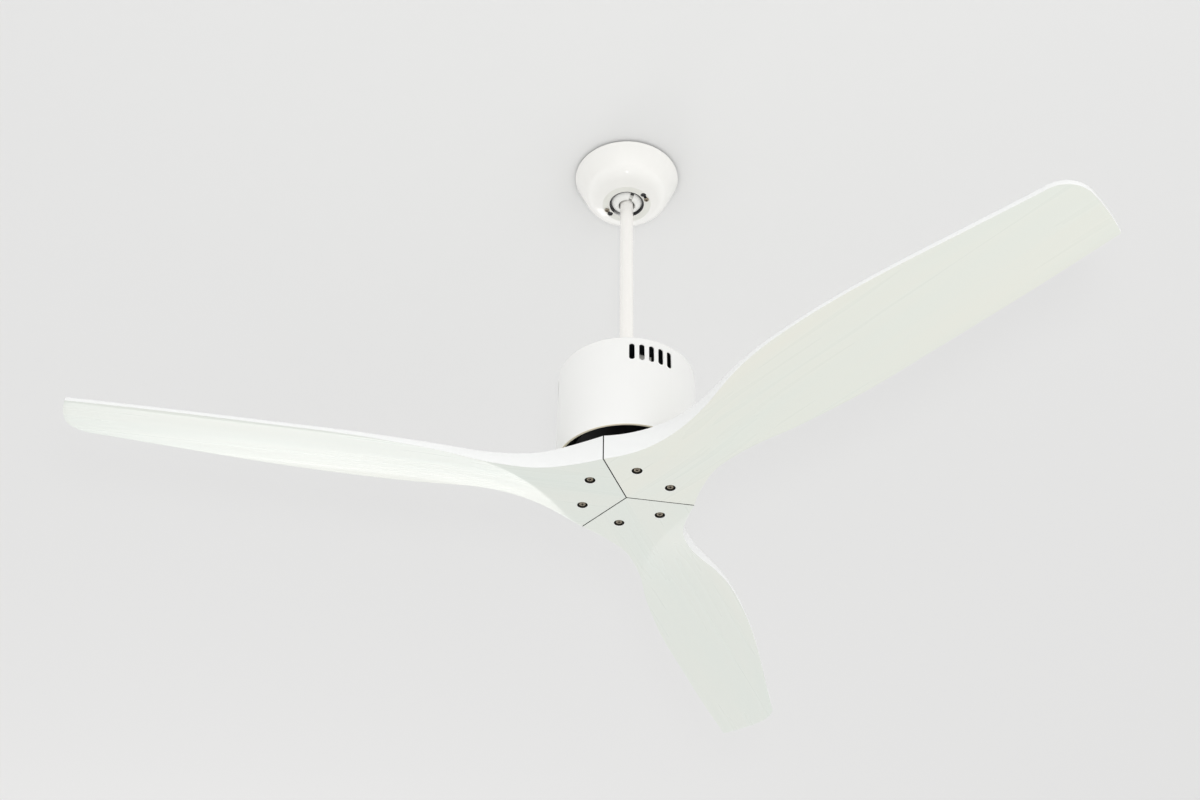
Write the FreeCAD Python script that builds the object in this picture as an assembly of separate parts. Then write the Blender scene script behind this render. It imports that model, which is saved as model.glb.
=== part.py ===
import FreeCAD, Part
import math
import os
from FreeCAD import Vector

# Sizes are in millimetres. The ceiling is the plane at height zero and the fan hangs along minus Z.
# The front of the fan is minus Y. Angles are plan angles from plus X, seen from above.

# Clearances shared by neighbouring pieces
running_gap = 0.05
thread_gap = 0.05
free_gap = 0.5
contact_free = 0.3

# Ceiling bracket
bracket_sheet = 2.5
plate_half_length = 66.0
plate_half_width = 22.0
tongue_half_width = 30.0
tongue_inset = 15.0
slot_spacing = 100.0
slot_length = 14.0
slot_half_width = 3.0
supply_hole = 13.0
leg_half_width = 10.0
leg_clearance = 3.5
seat_flange = 39.2
seat_opening = 26.0
seat_height = 9.0
seat_wall = 2.2
rod_passage = 24.0

# Canopy
canopy_radius = 85.5
canopy_flat = 39.3
canopy_lean = 24.0
canopy_slope = 20.0
canopy_shoulder = 36.0
canopy_depth = 61.7
canopy_sheet = 1.2
canopy_ceiling_gap = 3.0
canopy_opening = 28.3
keyhole_radius = 34.4
keyhole_start = -38.0
keyhole_turn = 18.0
keyhole_half_slot = 2.5
keyhole_round = 4.6
canopy_screw = 2.0

# Wiring and receiver in the canopy
earth_shank = 2.0
terminal_width = 14.0
terminal_depth = 11.5
terminal_height = 15.0
terminal_ways = 3
terminal_hole = 1.5
terminal_hole_share = 0.6
receiver_height = 21.0
receiver_ball_gap = 5.0
receiver_margin = 2.0
receiver_round = 2.5
plug_half_width = 6.0
plug_half_depth = 4.0
plug_height = 7.0
plug_clearance = 2.0

# Hanger ball
ball_radius = 32.0
ball_height = -37.0
ball_foot = 28.0
ball_head = 22.0
groove_angle = -66.0
groove_width = 6.0
groove_depth = 4.5
tab_side_gap = 0.5
tab_reach = 21.0
ball_pin = 3.0
ball_grub = 2.5
ball_grub_length = 16.0
ball_flare = 3.5
pin_end_gap = 1.0

# Down rod and coupler
rod_radius = 10.5
rod_wall = 1.5
rod_top_below_ball_head = 3.0
rod_length = 412.0
coupler_radius = 17.0
coupler_above_housing = 44.0
coupler_flange = 34.0
coupler_flange_thick = 6.0
coupler_boss = 15.0
coupler_boss_length = 18.0
coupler_web = 6.0
coupler_pin = 3.5
coupler_grub = 3.0
coupler_grub_proud = 1.5
coupler_pin_head = 2.5
coupler_pin_overhang = 7.0
clip_wire = 0.8
clip_inset = 3.0
cover_radius = 36.0
cover_sheet = 1.5
cover_headroom = 6.5
cover_round = 7.0

# Motor housing
housing_air_gap = 13.8
housing_skirt = 23.5
driver_bay = 64.5
housing_sheet = 1.2
housing_top_sheet = 1.5
housing_corner = 3.0
housing_lip = 2.2
vent_centre = -69.3
vent_pitch = 8.2
vent_count = 5
vent_groups = 3
vent_half_width = 4.0
vent_height = 29.0
vent_drop = 27.5
housing_screw = 2.5
housing_screw_circle = 27.0
housing_screw_count = 4
housing_screw_turn = 45.0
housing_screw_length = 12.0

# Motor
motor_half_height = 34.0
motor_wall = 5.0
motor_sheet = 3.0
motor_flange = 10.0
shaft_radius = 8.5
shaft_bore = 5.5
bearing_radius = 20.0
bearing_width = 12.0
bearing_ring = 3.0
bearing_ball = 3.3
bearing_ball_count = 8
bearing_shoulder = 2.0
bearing_boss_wall = 4.0
cage_half_wall = 0.9
cage_half_height = 3.96
stack_height = 18.0
tooth_count = 12
tooth_width = 9.0
stator_radius = 62.0
stator_shoe = 4.0
stator_yoke_inner = 24.0
stator_yoke_outer = 32.0
slot_opening = 3.5
coil_thick = 3.8
coil_overhang = 6.0
coil_root_gap = 3.0
air_gap = 0.6
magnet_thick = 4.4
magnet_count = 14
magnet_gap = 1.0
magnet_overhang = 2.0
back_iron = 4.0
cover_screw = 2.0
cover_screw_count = 6
cover_screw_proud = 2.0
clip_thick = 1.0
clip_groove = 0.7
clip_radius = 11.0

# Driver electronics
board_drop = 20.0
board_thick = 1.6
board_inner = 24.0
board_edge_gap = 21.8
board_screw = 1.5
board_screw_share = 0.45
standoff_radius = 3.0
standoff_inset = 12.0
standoff_count = 3
standoff_turn = 15.0
capacitor_radius = 8.0
capacitor_height = 22.0
capacitor_inset = 24.0
capacitor_turn = 150.0
capacitor_pitch = 24.0
filter_radius = 9.0
filter_bore = 4.0
filter_height = 9.0
filter_inset = 26.0
filter_turn = 215.0
sink_half_length = 13.0
sink_half_width = 9.0
sink_height = 14.0
sink_base = 4.0
sink_inset = 25.0
sink_turn = -35.0
fin_gap = 3.0
fin_pitch = 5.0
lead_socket_half = 5.0
lead_socket_gap = 7.0
lead_socket_depth = 9.0
lead_socket_height = 7.0
plug_socket_half = 10.0
plug_socket_depth = 11.0
plug_socket_height = 11.0
plug_socket_inset = 3.0

# Leads
lead_radius = 0.8
lead_spread = 1.9
lead_bend = 5.0
lead_rise = 2.5
lead_ease = 0.3
lead_settle = 8.0
lead_run = 10.0
window_drop = 8.0
window_height = 13.0
window_margin = 1.0
window_side_gap = 0.6

# Blades and hub
sweep_radius = 762.0
blade_chord = 136.0
board_height = 39.0
blade_plate_gap = 7.8
first_blade = 191.1
blade_number = 3
seam_gap = 1.6
seam_length = 96.5
hub_plate_radius = 84.0
hub_plate_thick = 6.0
hub_boss = 34.0
hub_bore = 12.5
blade_screw = 3.0
blade_screw_end = 0.2
blade_screw_circle = 64.8
blade_screw_spread = 28.2
counterbore = 7.5
counterbore_depth = 6.4
washer_thick = 1.2
hub_screw = 3.0
hub_screw_circle = 28.0
hub_screw_count = 4
hub_screw_turn = 45.0
hub_screw_reach = 7.7
hub_hole_spare = 0.8
hub_pad = 12.5

# Carved faces of a blade
under_slope = 0.23
under_fade = 48.0
top_slope = 0.228
top_fade = 25.0
root_rise = 3.0
root_fade = 16.0
crease_share = 0.493
crease_fade = 96.0
crease_power = 1.27
crown = 3.0
carve_margin = 45.0
tip_round = 36.7

# Blade edges as shares of the sweep radius, then of the chord on either side of the blade's own axis
edge_stations = (
    (0.093, 0.520, 0.507),
    (0.132, 0.417, 0.391),
    (0.172, 0.344, 0.321),
    (0.220, 0.330, 0.294),
    (0.272, 0.353, 0.315),
    (0.331, 0.421, 0.383),
    (0.411, 0.484, 0.447),
    (0.504, 0.533, 0.455),
    (0.610, 0.547, 0.422),
    (0.822, 0.558, 0.272),
)
tip_corner = (0.988, 0.545)
tip_bow = (0.999, 0.220)
tip_far_edge = 0.171

origin = Vector(0, 0, 0)
up = Vector(0, 0, 1)
along_x = Vector(1, 0, 0)
along_y = Vector(0, 1, 0)


def at(radius, degrees, height=0.0):
    angle = math.radians(degrees)
    return Vector(radius * math.cos(angle), radius * math.sin(angle), height)


def bar(radius, low, high, place=origin):
    return Part.makeCylinder(radius, high - low, Vector(place.x, place.y, low))


def tube(outer, inner, low, high):
    return bar(outer, low, high).cut(bar(inner, low, high))


def bar_along(radius, start, direction, length):
    return Part.makeCylinder(radius, length, start, direction)


def block(x, y, z):
    size = (x[1] - x[0], y[1] - y[0], z[1] - z[0])
    return Part.makeBox(size[0], size[1], size[2], Vector(x[0], y[0], z[0]))


def turned(shape, degrees, centre=origin, axis=up):
    copy = shape.copy()
    copy.rotate(centre, axis, degrees)
    return copy


def moved(shape, offset):
    copy = shape.copy()
    copy.translate(offset)
    return copy


def ring_of(shape, count, start=0.0):
    return [turned(shape, start + k * 360.0 / count) for k in range(count)]


def cut_all(shape, tools):
    for tool in tools:
        shape = shape.cut(tool)
    return shape


def join(shapes):
    whole = shapes[0]
    for shape in shapes[1:]:
        whole = whole.fuse(shape)
    return whole.removeSplitter()


def group(shapes):
    return Part.makeCompound(shapes)


def lathe(points):
    corners = [Vector(r, 0, z) for r, z in points]
    face = Part.Face(Part.makePolygon(corners + [corners[0]]))
    return face.revolve(origin, up, 360)


def line(a, b):
    return Part.makeLine(a, b)


def curve(points, first=None, last=None):
    spline = Part.BSplineCurve()
    if first is None:
        spline.interpolate(points)
    else:
        spline.interpolate(Points=points, InitialTangent=first, FinalTangent=last)
    return spline.toShape()


def obround(half_width, length, depth):
    reach = length / 2 - half_width
    middle = block((-reach, reach), (-half_width, half_width), (-depth, depth))
    ends = [bar(half_width, -depth, depth, Vector(side * reach, 0, 0)) for side in (-1, 1)]
    return join([middle] + ends)


def edges_at_height(shape, height):
    near = 0.001
    level = [e for e in shape.Edges if e.BoundBox.ZLength < near]
    return [e for e in level if abs(e.BoundBox.ZMin - height) < near]


def cross_recess(radius, depth):
    arm = radius * 0.16
    reach = radius * 0.58
    one = block((-reach, reach), (-arm, arm), (0, depth))
    other = block((-arm, arm), (-reach, reach), (0, depth))
    return one.fuse(other)


def pan_screw(shank, length):
    # The head hangs below height zero and the shank rises from it
    head = shank * 1.95
    height = shank * 1.25
    cap = bar(head, -height, 0)
    cap = cap.makeFillet(height * 0.5, edges_at_height(cap, -height))
    cap = cap.cut(moved(cross_recess(head, height * 0.55), Vector(0, 0, -height)))
    return cap.fuse(bar(shank, 0, length)).removeSplitter()


def pan_screw_down(shank, length):
    return turned(pan_screw(shank, length), 180, origin, along_x)


def grub_screw(shank, length, start, direction):
    socket = shank * 0.5
    depth = shank * 1.2
    body = bar_along(shank, start, direction, length)
    mouth = start + direction * (length - depth)
    return body.cut(bar_along(socket, mouth, direction, depth))


def pipe(points, radius):
    path = Part.Wire([curve(points)])
    direction = points[1] - points[0]
    ring = Part.Wire([Part.Circle(points[0], direction, radius).toShape()])
    return path.makePipeShell([ring], True, False)


# Heights that follow from the driving sizes
canopy_bottom = -canopy_depth
canopy_rim = -canopy_ceiling_gap
seat_bottom = canopy_bottom + canopy_sheet + free_gap
seat_top = seat_bottom + bracket_sheet
collar_top = seat_top + seat_height
leg_inner = ball_radius + leg_clearance
leg_outer = leg_inner + bracket_sheet
ball_centre = Vector(0, 0, ball_height)
ball_top = ball_height + ball_head
rod_top = ball_top - rod_top_below_ball_head
rod_bore = rod_radius - rod_wall
ball_pin_height = rod_top - 2 * ball_pin
pin_half = ball_radius * 0.62
plug_bottom = ball_top + plug_clearance
tongue_reach = canopy_radius - tongue_inset

motor_radius = stator_radius + air_gap + magnet_thick + back_iron + motor_wall
housing_radius = motor_radius + motor_flange + housing_air_gap + housing_sheet
rod_bottom = rod_top - rod_length
housing_top = rod_bottom - coupler_web
housing_height = housing_top_sheet + driver_bay + 2 * motor_half_height + housing_skirt
housing_bottom = housing_top - housing_height
housing_under_top = housing_top - housing_top_sheet
coupler_top = housing_top + coupler_above_housing
flange_bottom = housing_under_top - coupler_flange_thick
coupler_bottom = flange_bottom - coupler_boss_length
shaft_top = housing_top
coupler_pin_height = (coupler_top + rod_bottom) / 2
coupler_grub_height = coupler_top - 3 * coupler_grub
shaft_pin_height = (flange_bottom + coupler_bottom) / 2
shaft_pin = shaft_bore * 0.36

ring_outer = motor_radius - motor_wall
magnet_outer = ring_outer - back_iron
magnet_inner = magnet_outer - magnet_thick
motor_top = housing_under_top - driver_bay
motor_mid = motor_top - motor_half_height
motor_bottom = motor_mid - motor_half_height
upper_bearing_top = motor_top - motor_sheet - bearing_shoulder
upper_bearing_bottom = upper_bearing_top - bearing_width
lower_bearing_bottom = motor_bottom + motor_sheet + bearing_shoulder
lower_bearing_top = lower_bearing_bottom + bearing_width
stack_top = motor_mid + stack_height / 2
stack_bottom = motor_mid - stack_height / 2
shaft_bottom = lower_bearing_bottom - 1.5 * shaft_radius
plate_top = housing_bottom - blade_plate_gap
board_top_height = plate_top - hub_plate_thick
board_bottom = board_top_height - board_height
driver_top = housing_under_top - board_drop
driver_bottom = driver_top - board_thick
board_outer = housing_radius - housing_sheet - board_edge_gap
standoff_circle = board_outer - standoff_inset


# Ceiling bracket with the ball seat
def make_bracket():
    low = -bracket_sheet
    along = (-plate_half_length, plate_half_length)
    plate = block(along, (-plate_half_width, plate_half_width), (low, 0))
    tongue = block((-tongue_half_width, tongue_half_width), (-tongue_reach, 0), (low, 0))
    legs = []
    for side in (-1, 1):
        across = sorted((side * leg_inner, side * leg_outer))
        legs.append(block(across, (-leg_half_width, leg_half_width), (seat_bottom, 0)))
    flange = bar(seat_flange, seat_bottom, seat_top)
    feet = block((-leg_outer, leg_outer), (-leg_half_width, leg_half_width), (seat_bottom, seat_top))
    sphere = Part.makeSphere(ball_radius + running_gap, ball_centre)
    collar_radius = math.sqrt(ball_radius ** 2 - (ball_height - collar_top) ** 2) + seat_wall
    collar = bar(collar_radius, seat_top, collar_top)
    body = join([plate, tongue, flange, feet, collar] + legs)
    body = body.cut(bar(seat_opening, seat_bottom, seat_top + seat_height / 2)).cut(sphere)
    reach = 2 * seat_flange
    passage = block((0, reach), (-rod_passage / 2, rod_passage / 2), (seat_bottom, collar_top))
    body = body.cut(turned(passage, groove_angle + 180))
    tab_half = groove_width / 2 - tab_side_gap
    tab_span = (tab_reach, collar_radius - seat_wall / 2)
    tab = block(tab_span, (-tab_half, tab_half), (seat_bottom, collar_top))
    tab = tab.cut(Part.makeSphere(ball_radius - groove_depth + free_gap, ball_centre))
    body = body.fuse(turned(tab, groove_angle)).removeSplitter()
    slot = obround(slot_half_width, slot_length, 2 * bracket_sheet)
    tools = [moved(slot, Vector(side * slot_spacing / 2, 0, 0)) for side in (-1, 1)]
    tools.append(bar(supply_hole, 2 * low, bracket_sheet))
    for k in (0, 180):
        spot = at(keyhole_radius, keyhole_start + keyhole_turn + k)
        tools.append(bar(canopy_screw + thread_gap, seat_bottom, collar_top, spot))
    tools.append(bar_along(earth_shank + thread_gap, earth_place, along_x, 2 * bracket_sheet))
    return cut_all(body, tools)


earth_place = Vector(leg_inner - bracket_sheet / 2, -leg_half_width / 2, ball_height + ball_head / 2)
ceiling_bracket = make_bracket()


def make_canopy_screws():
    clamp = canopy_bottom - contact_free
    reach = seat_top + 3 * canopy_screw - clamp
    screw = moved(pan_screw(canopy_screw, reach), Vector(keyhole_radius, 0, clamp))
    return group(ring_of(screw, 2, keyhole_start + keyhole_turn))


canopy_screws = make_canopy_screws()


def make_earth_screw():
    # Head outside the leg, shank through it towards the ball
    shank = bracket_sheet + earth_shank
    screw = turned(pan_screw(earth_shank, shank), -90, origin, along_y)
    return moved(screw, Vector(leg_outer, earth_place.y, earth_place.z))


earth_screw = make_earth_screw()


def make_terminal_block():
    start = leg_half_width / 2
    top = ball_height + ball_head / 2
    low = top - terminal_height
    face = -leg_outer - terminal_depth
    body = block((face, -leg_outer), (start, start + terminal_width), (low, top))
    way = terminal_width / terminal_ways
    hole_place = -leg_outer - terminal_depth * terminal_hole_share
    for k in range(terminal_ways):
        across = start + way * (k + 0.5)
        body = body.cut(bar_along(terminal_hole, Vector(hole_place, across, low), up, terminal_height))
        mouth = Vector(face, across, top - terminal_height / 2)
        body = body.cut(bar_along(terminal_hole, mouth, along_x, hole_place - face))
    return body


terminal_block = make_terminal_block()


def make_receiver():
    half = tongue_half_width - receiver_margin
    front = receiver_margin - tongue_reach
    back = -ball_radius - receiver_ball_gap
    seat = -bracket_sheet
    box = block((-half, half), (front, back), (seat - receiver_height, seat))
    held = edges_at_height(box, seat)
    free = [e for e in box.Edges if not any(e.isSame(h) for h in held)]
    return box.makeFillet(receiver_round, free)


remote_receiver = make_receiver()


# Canopy bowl
def bowl_edges(rim, foot, shoulder):
    lean = math.radians(canopy_lean)
    slope = math.radians(canopy_slope)
    down_side = Vector(-math.sin(lean), 0, -math.cos(lean))
    up_foot = Vector(math.cos(slope), 0, math.sin(slope))
    across = rim.x - foot.x
    height = rim.z - foot.z
    reach = (height * math.cos(slope) - across * math.sin(slope)) / math.cos(lean + slope)
    corner = rim + down_side * reach
    half_turn = (math.pi / 2 - lean - slope) / 2
    run = shoulder * math.tan(half_turn)
    start = corner - down_side * run
    finish = corner - up_foot * run
    centre = start + Vector(-math.cos(lean), 0, math.sin(lean)) * shoulder
    outward = (corner - centre).normalize()
    bend = Part.Arc(start, centre + outward * shoulder, finish).toShape()
    return [line(rim, start), bend, line(finish, foot)]


def make_canopy():
    inside = canopy_bottom + canopy_sheet
    lean = math.radians(canopy_lean)
    slope = math.radians(canopy_slope)
    rim = Vector(canopy_radius, 0, canopy_rim)
    rim_inner = Vector(canopy_radius - canopy_sheet / math.cos(lean), 0, canopy_rim)
    foot = Vector(canopy_flat, 0, canopy_bottom)
    foot_inner = Vector(canopy_flat - canopy_sheet * math.tan(slope / 2), 0, inside)
    mouth = Vector(canopy_opening, 0, canopy_bottom)
    mouth_inner = Vector(canopy_opening, 0, inside)
    edges = bowl_edges(rim, foot, canopy_shoulder)
    edges += bowl_edges(rim_inner, foot_inner, canopy_shoulder - canopy_sheet)
    edges.append(line(rim, rim_inner))
    edges.append(line(foot_inner, mouth_inner))
    edges.append(line(mouth_inner, mouth))
    edges.append(line(mouth, foot))
    bowl = Part.Face(Part.Wire(Part.__sortEdges__(edges))).revolve(origin, up, 360)
    low = canopy_bottom - canopy_sheet
    high = inside + canopy_sheet
    finish = keyhole_start + keyhole_turn
    near = keyhole_radius - keyhole_half_slot
    far = keyhole_radius + keyhole_half_slot
    channel = lathe_sector(near, far, low, high)
    slot = [turned(channel, keyhole_start)]
    slot.append(bar(keyhole_round, low, high, at(keyhole_radius, keyhole_start)))
    slot.append(bar(keyhole_half_slot, low, high, at(keyhole_radius, finish)))
    keyhole = join(slot)
    return cut_all(bowl, ring_of(keyhole, 2))


def lathe_sector(inner, outer, low, high):
    places = [(inner, low), (outer, low), (outer, high), (inner, high)]
    corners = [Vector(r, 0, z) for r, z in places]
    face = Part.Face(Part.makePolygon(corners + [corners[0]]))
    return face.revolve(origin, up, keyhole_turn)


canopy = make_canopy()


# Hanger ball, its cross pin and its set screw
def make_ball():
    sphere = Part.makeSphere(ball_radius, ball_centre)
    wide = 2 * ball_radius
    keep = block((-wide, wide), (-wide, wide), (ball_height - ball_foot, ball_top))
    body = sphere.common(keep)
    bore = rod_radius + running_gap
    body = body.cut(bar(bore, ball_height - ball_radius, ball_top + ball_radius))
    foot = ball_height - ball_foot
    body = body.cut(Part.makeCone(bore + ball_flare, bore, 2 * ball_flare, Vector(0, 0, foot)))
    slot_half = ball_pin + running_gap
    floor = ball_pin_height - ball_pin
    end = pin_half + pin_end_gap
    slot = block((-end, end), (-slot_half, slot_half), (floor, ball_top + pin_end_gap))
    body = body.cut(slot)
    start = Vector(0, -groove_width / 2, ball_height)
    ring = bar_along(wide, start, along_y, groove_width)
    core = bar_along(ball_radius - groove_depth, start, along_y, groove_width)
    span = (ball_height - wide, ball_height + ball_head / 2)
    side = block((bore + rod_wall, wide), (-groove_width, groove_width), span)
    groove = ring.cut(core).common(side)
    body = body.cut(turned(groove, groove_angle))
    hole = bar_along(ball_grub + thread_gap, Vector(0, 0, ball_height + ball_grub), along_y, wide)
    return body.cut(hole)


hanger_ball = make_ball()
ball_cross_pin = bar_along(ball_pin, Vector(-pin_half, 0, ball_pin_height), along_x, 2 * pin_half)
grub_seat = Vector(0, rod_radius, ball_height + ball_grub)
ball_set_screw = grub_screw(ball_grub, ball_grub_length, grub_seat, along_y)


# Down rod
def make_rod():
    body = tube(rod_radius, rod_bore, rod_bottom, rod_top)
    start = Vector(-2 * rod_radius, 0, ball_pin_height)
    body = body.cut(bar_along(ball_pin + running_gap, start, along_x, 4 * rod_radius))
    start = Vector(-2 * rod_radius, 0, coupler_pin_height)
    return body.cut(bar_along(coupler_pin + running_gap, start, along_x, 4 * rod_radius))


downrod = make_rod()


# Coupler between rod and motor shaft, with its pin, clip and screws
def make_coupler():
    neck = bar(coupler_radius, flange_bottom, coupler_top)
    flange = bar(coupler_flange, flange_bottom, housing_under_top)
    boss = bar(coupler_boss, coupler_bottom, flange_bottom)
    body = join([neck, flange, boss])
    tools = [bar(rod_radius + running_gap, rod_bottom, coupler_top)]
    tools.append(bar(rod_bore - running_gap, shaft_top, rod_bottom))
    tools.append(bar(shaft_radius, coupler_bottom, shaft_top))
    far = 2 * coupler_flange
    start = Vector(-far, 0, coupler_pin_height)
    tools.append(bar_along(coupler_pin + running_gap, start, along_x, 2 * far))
    start = Vector(0, -far, coupler_grub_height)
    tools.append(bar_along(coupler_grub + thread_gap, start, along_y, 2 * far))
    tools.append(bar_along(shaft_pin, Vector(-far, 0, shaft_pin_height), along_x, 2 * far))
    place = Vector(housing_screw_circle, 0, 0)
    hole = bar(housing_screw + thread_gap, flange_bottom, housing_under_top, place)
    tools += ring_of(hole, housing_screw_count, housing_screw_turn)
    return cut_all(body, tools)


rod_coupler = make_coupler()
pin_tail = coupler_radius + coupler_pin_overhang
clip_place = pin_tail - clip_inset


def make_coupler_pin():
    start = Vector(-coupler_radius, 0, coupler_pin_height)
    body = bar_along(coupler_pin, start, along_x, coupler_radius + pin_tail)
    cap = bar_along(1.6 * coupler_pin, start, -along_x, coupler_pin_head)
    low = coupler_pin_height - coupler_radius
    high = coupler_pin_height + coupler_radius
    hole = bar(clip_wire + running_gap, low, high, Vector(clip_place, 0, 0))
    return body.fuse(cap).cut(hole).removeSplitter()


coupler_pin_solid = make_coupler_pin()


def make_clip():
    # A hairpin: one leg through the pin, one leg along its side
    span = coupler_pin + clip_wire + running_gap
    low = coupler_pin_height - 2 * coupler_pin
    high = coupler_pin_height + 2 * coupler_pin
    legs = [bar(clip_wire, low, high, Vector(clip_place, y, 0)) for y in (0, span)]
    bend = Part.makeTorus(span / 2, clip_wire, Vector(clip_place, span / 2, high), along_x, -180, 180, 360)
    above = block((clip_place - span, clip_place + span), (-span, 2 * span), (high, high + 2 * span))
    return join(legs + [bend.common(above)])


coupler_clip = make_clip()
coupler_grub_length = coupler_radius - rod_radius + coupler_grub_proud
coupler_grub_seat = Vector(0, rod_radius, coupler_grub_height)
coupler_set_screw = grub_screw(coupler_grub, coupler_grub_length, coupler_grub_seat, along_y)
coupler_set_screws = group(ring_of(coupler_set_screw, 2))


# Coupling cover that slides on the rod
def make_cover():
    low = housing_top + contact_free
    high = coupler_top + cover_headroom + cover_sheet
    cup = bar(cover_radius, low, high)
    cup = cup.makeFillet(cover_round, edges_at_height(cup, high))
    hollow = bar(cover_radius - cover_sheet, low, high - cover_sheet)
    hollow = hollow.makeFillet(cover_round - cover_sheet, edges_at_height(hollow, high - cover_sheet))
    return cup.cut(hollow).cut(bar(rod_radius + free_gap, low, high))


coupling_cover = make_cover()


# Motor housing
def make_housing():
    cup = bar(housing_radius, housing_bottom, housing_top)
    cup = cup.makeFillet(housing_corner, edges_at_height(cup, housing_top))
    inner = housing_radius - housing_sheet
    cup = cup.cut(bar(inner, housing_bottom + housing_sheet, housing_under_top))
    cup = cup.cut(bar(inner - housing_lip, housing_bottom, housing_under_top))
    tools = [bar(coupler_radius + contact_free, housing_under_top, housing_top)]
    place = Vector(housing_screw_circle, 0, 0)
    hole = bar(housing_screw + contact_free, housing_under_top, housing_top, place)
    tools += ring_of(hole, housing_screw_count, housing_screw_turn)
    slot = obround(vent_half_width, vent_height, 2 * vent_half_width)
    slot = turned(slot, 90, origin, along_y)
    slot = moved(slot, Vector(housing_radius, 0, housing_top - vent_drop))
    first = vent_centre - vent_pitch * (vent_count - 1) / 2
    for k in range(vent_count):
        tools += ring_of(slot, vent_groups, first + k * vent_pitch)
    place = Vector(standoff_circle, 0, 0)
    stand = bar(board_screw + contact_free, housing_under_top, housing_top, place)
    tools += ring_of(stand, standoff_count, standoff_turn)
    return cut_all(cup, tools)


motor_housing = make_housing()
housing_bolt = pan_screw_down(housing_screw, housing_screw_length)
housing_bolt = moved(housing_bolt, Vector(housing_screw_circle, 0, housing_top))
housing_screws = group(ring_of(housing_bolt, housing_screw_count, housing_screw_turn))


# Driver board in the top of the housing
def make_driver_board():
    disc = tube(board_outer, board_inner, driver_bottom, driver_top)
    hole = bar(board_screw + contact_free, driver_bottom, driver_top, Vector(standoff_circle, 0, 0))
    return cut_all(disc, ring_of(hole, standoff_count, standoff_turn))


driver_board = make_driver_board()
standoff = tube(standoff_radius, board_screw + thread_gap, driver_top, housing_under_top)
spigot = bar(board_screw + contact_free - running_gap, housing_under_top, housing_top)
standoff = moved(join([standoff, spigot]), Vector(standoff_circle, 0, 0))
board_standoffs = group(ring_of(standoff, standoff_count, standoff_turn))
board_screw_length = board_thick + board_drop * board_screw_share
board_bolt = moved(pan_screw(board_screw, board_screw_length), Vector(standoff_circle, 0, driver_bottom))
board_screws = group(ring_of(board_bolt, standoff_count, standoff_turn))
capacitor = bar(capacitor_radius, driver_bottom - capacitor_height, driver_bottom)
capacitor_circle = board_outer - capacitor_inset
capacitor_turns = (capacitor_turn, capacitor_turn + capacitor_pitch)
smoothing_capacitors = group([moved(capacitor, at(capacitor_circle, k)) for k in capacitor_turns])
filter_coil = tube(filter_radius, filter_bore, driver_bottom - filter_height, driver_bottom)
filter_coil = moved(filter_coil, at(board_outer - filter_inset, filter_turn))


def make_heat_sink():
    half = sink_half_length
    low = driver_bottom - sink_height
    body = block((-half, half), (-sink_half_width, sink_half_width), (low, driver_bottom))
    for across in (-fin_pitch, 0, fin_pitch):
        side = (across - fin_gap / 2, across + fin_gap / 2)
        body = body.cut(block((-half, half), side, (low, driver_bottom - sink_base)))
    return turned(moved(body, Vector(board_outer - sink_inset, 0, 0)), sink_turn)


heat_sink = make_heat_sink()
socket_start = board_inner + lead_socket_gap
socket_bottom = driver_bottom - lead_socket_height
socket_reach = (socket_start, socket_start + lead_socket_depth)
lead_socket = block((-lead_socket_half, lead_socket_half), socket_reach, (socket_bottom, driver_bottom))
plug_end = board_outer - plug_socket_inset
plug_reach = (plug_end - plug_socket_depth, plug_end)
plug_rise = (driver_top, driver_top + plug_socket_height)
plug_socket = turned(block(plug_reach, (-plug_socket_half, plug_socket_half), plug_rise), vent_centre)
board_sockets = group([lead_socket, turned(lead_socket, 180), plug_socket])


# Leads in the rod and shaft
lead_in_rod = -0.57 * rod_radius
lead_in_shaft = 0.69 * shaft_bore
coil_lead_in_shaft = 0.45 * shaft_bore
window_top = driver_bottom - window_drop
shaft_window = (window_top - window_height, window_top)
window_middle = sum(shaft_window) / 2
coil_window = (stack_top + free_gap, upper_bearing_bottom - window_margin)
coil_lead_height = sum(coil_window) / 2
window_half = lead_spread + lead_radius + window_side_gap
socket_middle = sum(socket_reach) / 2


def supply_lead(x):
    points = [
        Vector(x, lead_in_rod, plug_bottom),
        Vector(x, lead_in_rod, (ball_height + coupler_top) / 2),
        Vector(x, lead_in_rod, coupler_pin_height),
        Vector(x, lead_in_rod, coupler_pin_height - lead_settle),
        Vector(x, -lead_in_shaft, shaft_top - lead_spread),
        Vector(x, -lead_in_shaft, coupler_bottom),
        Vector(x, -lead_in_shaft - lead_ease, coupler_bottom - lead_bend),
        Vector(x, -shaft_radius - lead_bend, window_middle),
        Vector(x, -socket_middle + lead_bend, window_middle),
        Vector(x, -socket_middle, socket_bottom - lead_rise),
        Vector(x, -socket_middle, socket_bottom - contact_free),
    ]
    return pipe(points, lead_radius)


def motor_lead(x):
    points = [
        Vector(x, socket_middle, socket_bottom - contact_free),
        Vector(x, socket_middle, socket_bottom - lead_rise),
        Vector(x, socket_middle - lead_bend, window_middle),
        Vector(x, shaft_radius + lead_bend, window_middle),
        Vector(x, coil_lead_in_shaft + lead_ease, window_middle - lead_rise - window_margin),
        Vector(x, coil_lead_in_shaft, window_middle - lead_run),
        Vector(x, coil_lead_in_shaft, coil_lead_height + lead_run),
        Vector(x, coil_lead_in_shaft + lead_ease, coil_lead_height + lead_spread),
        Vector(x, shaft_radius, coil_lead_height - window_margin),
        Vector(x, (shaft_radius + coil_start) / 2, coil_lead_height - free_gap),
        Vector(x, coil_start - free_gap, coil_lead_height - free_gap),
    ]
    return pipe(points, lead_radius)


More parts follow.
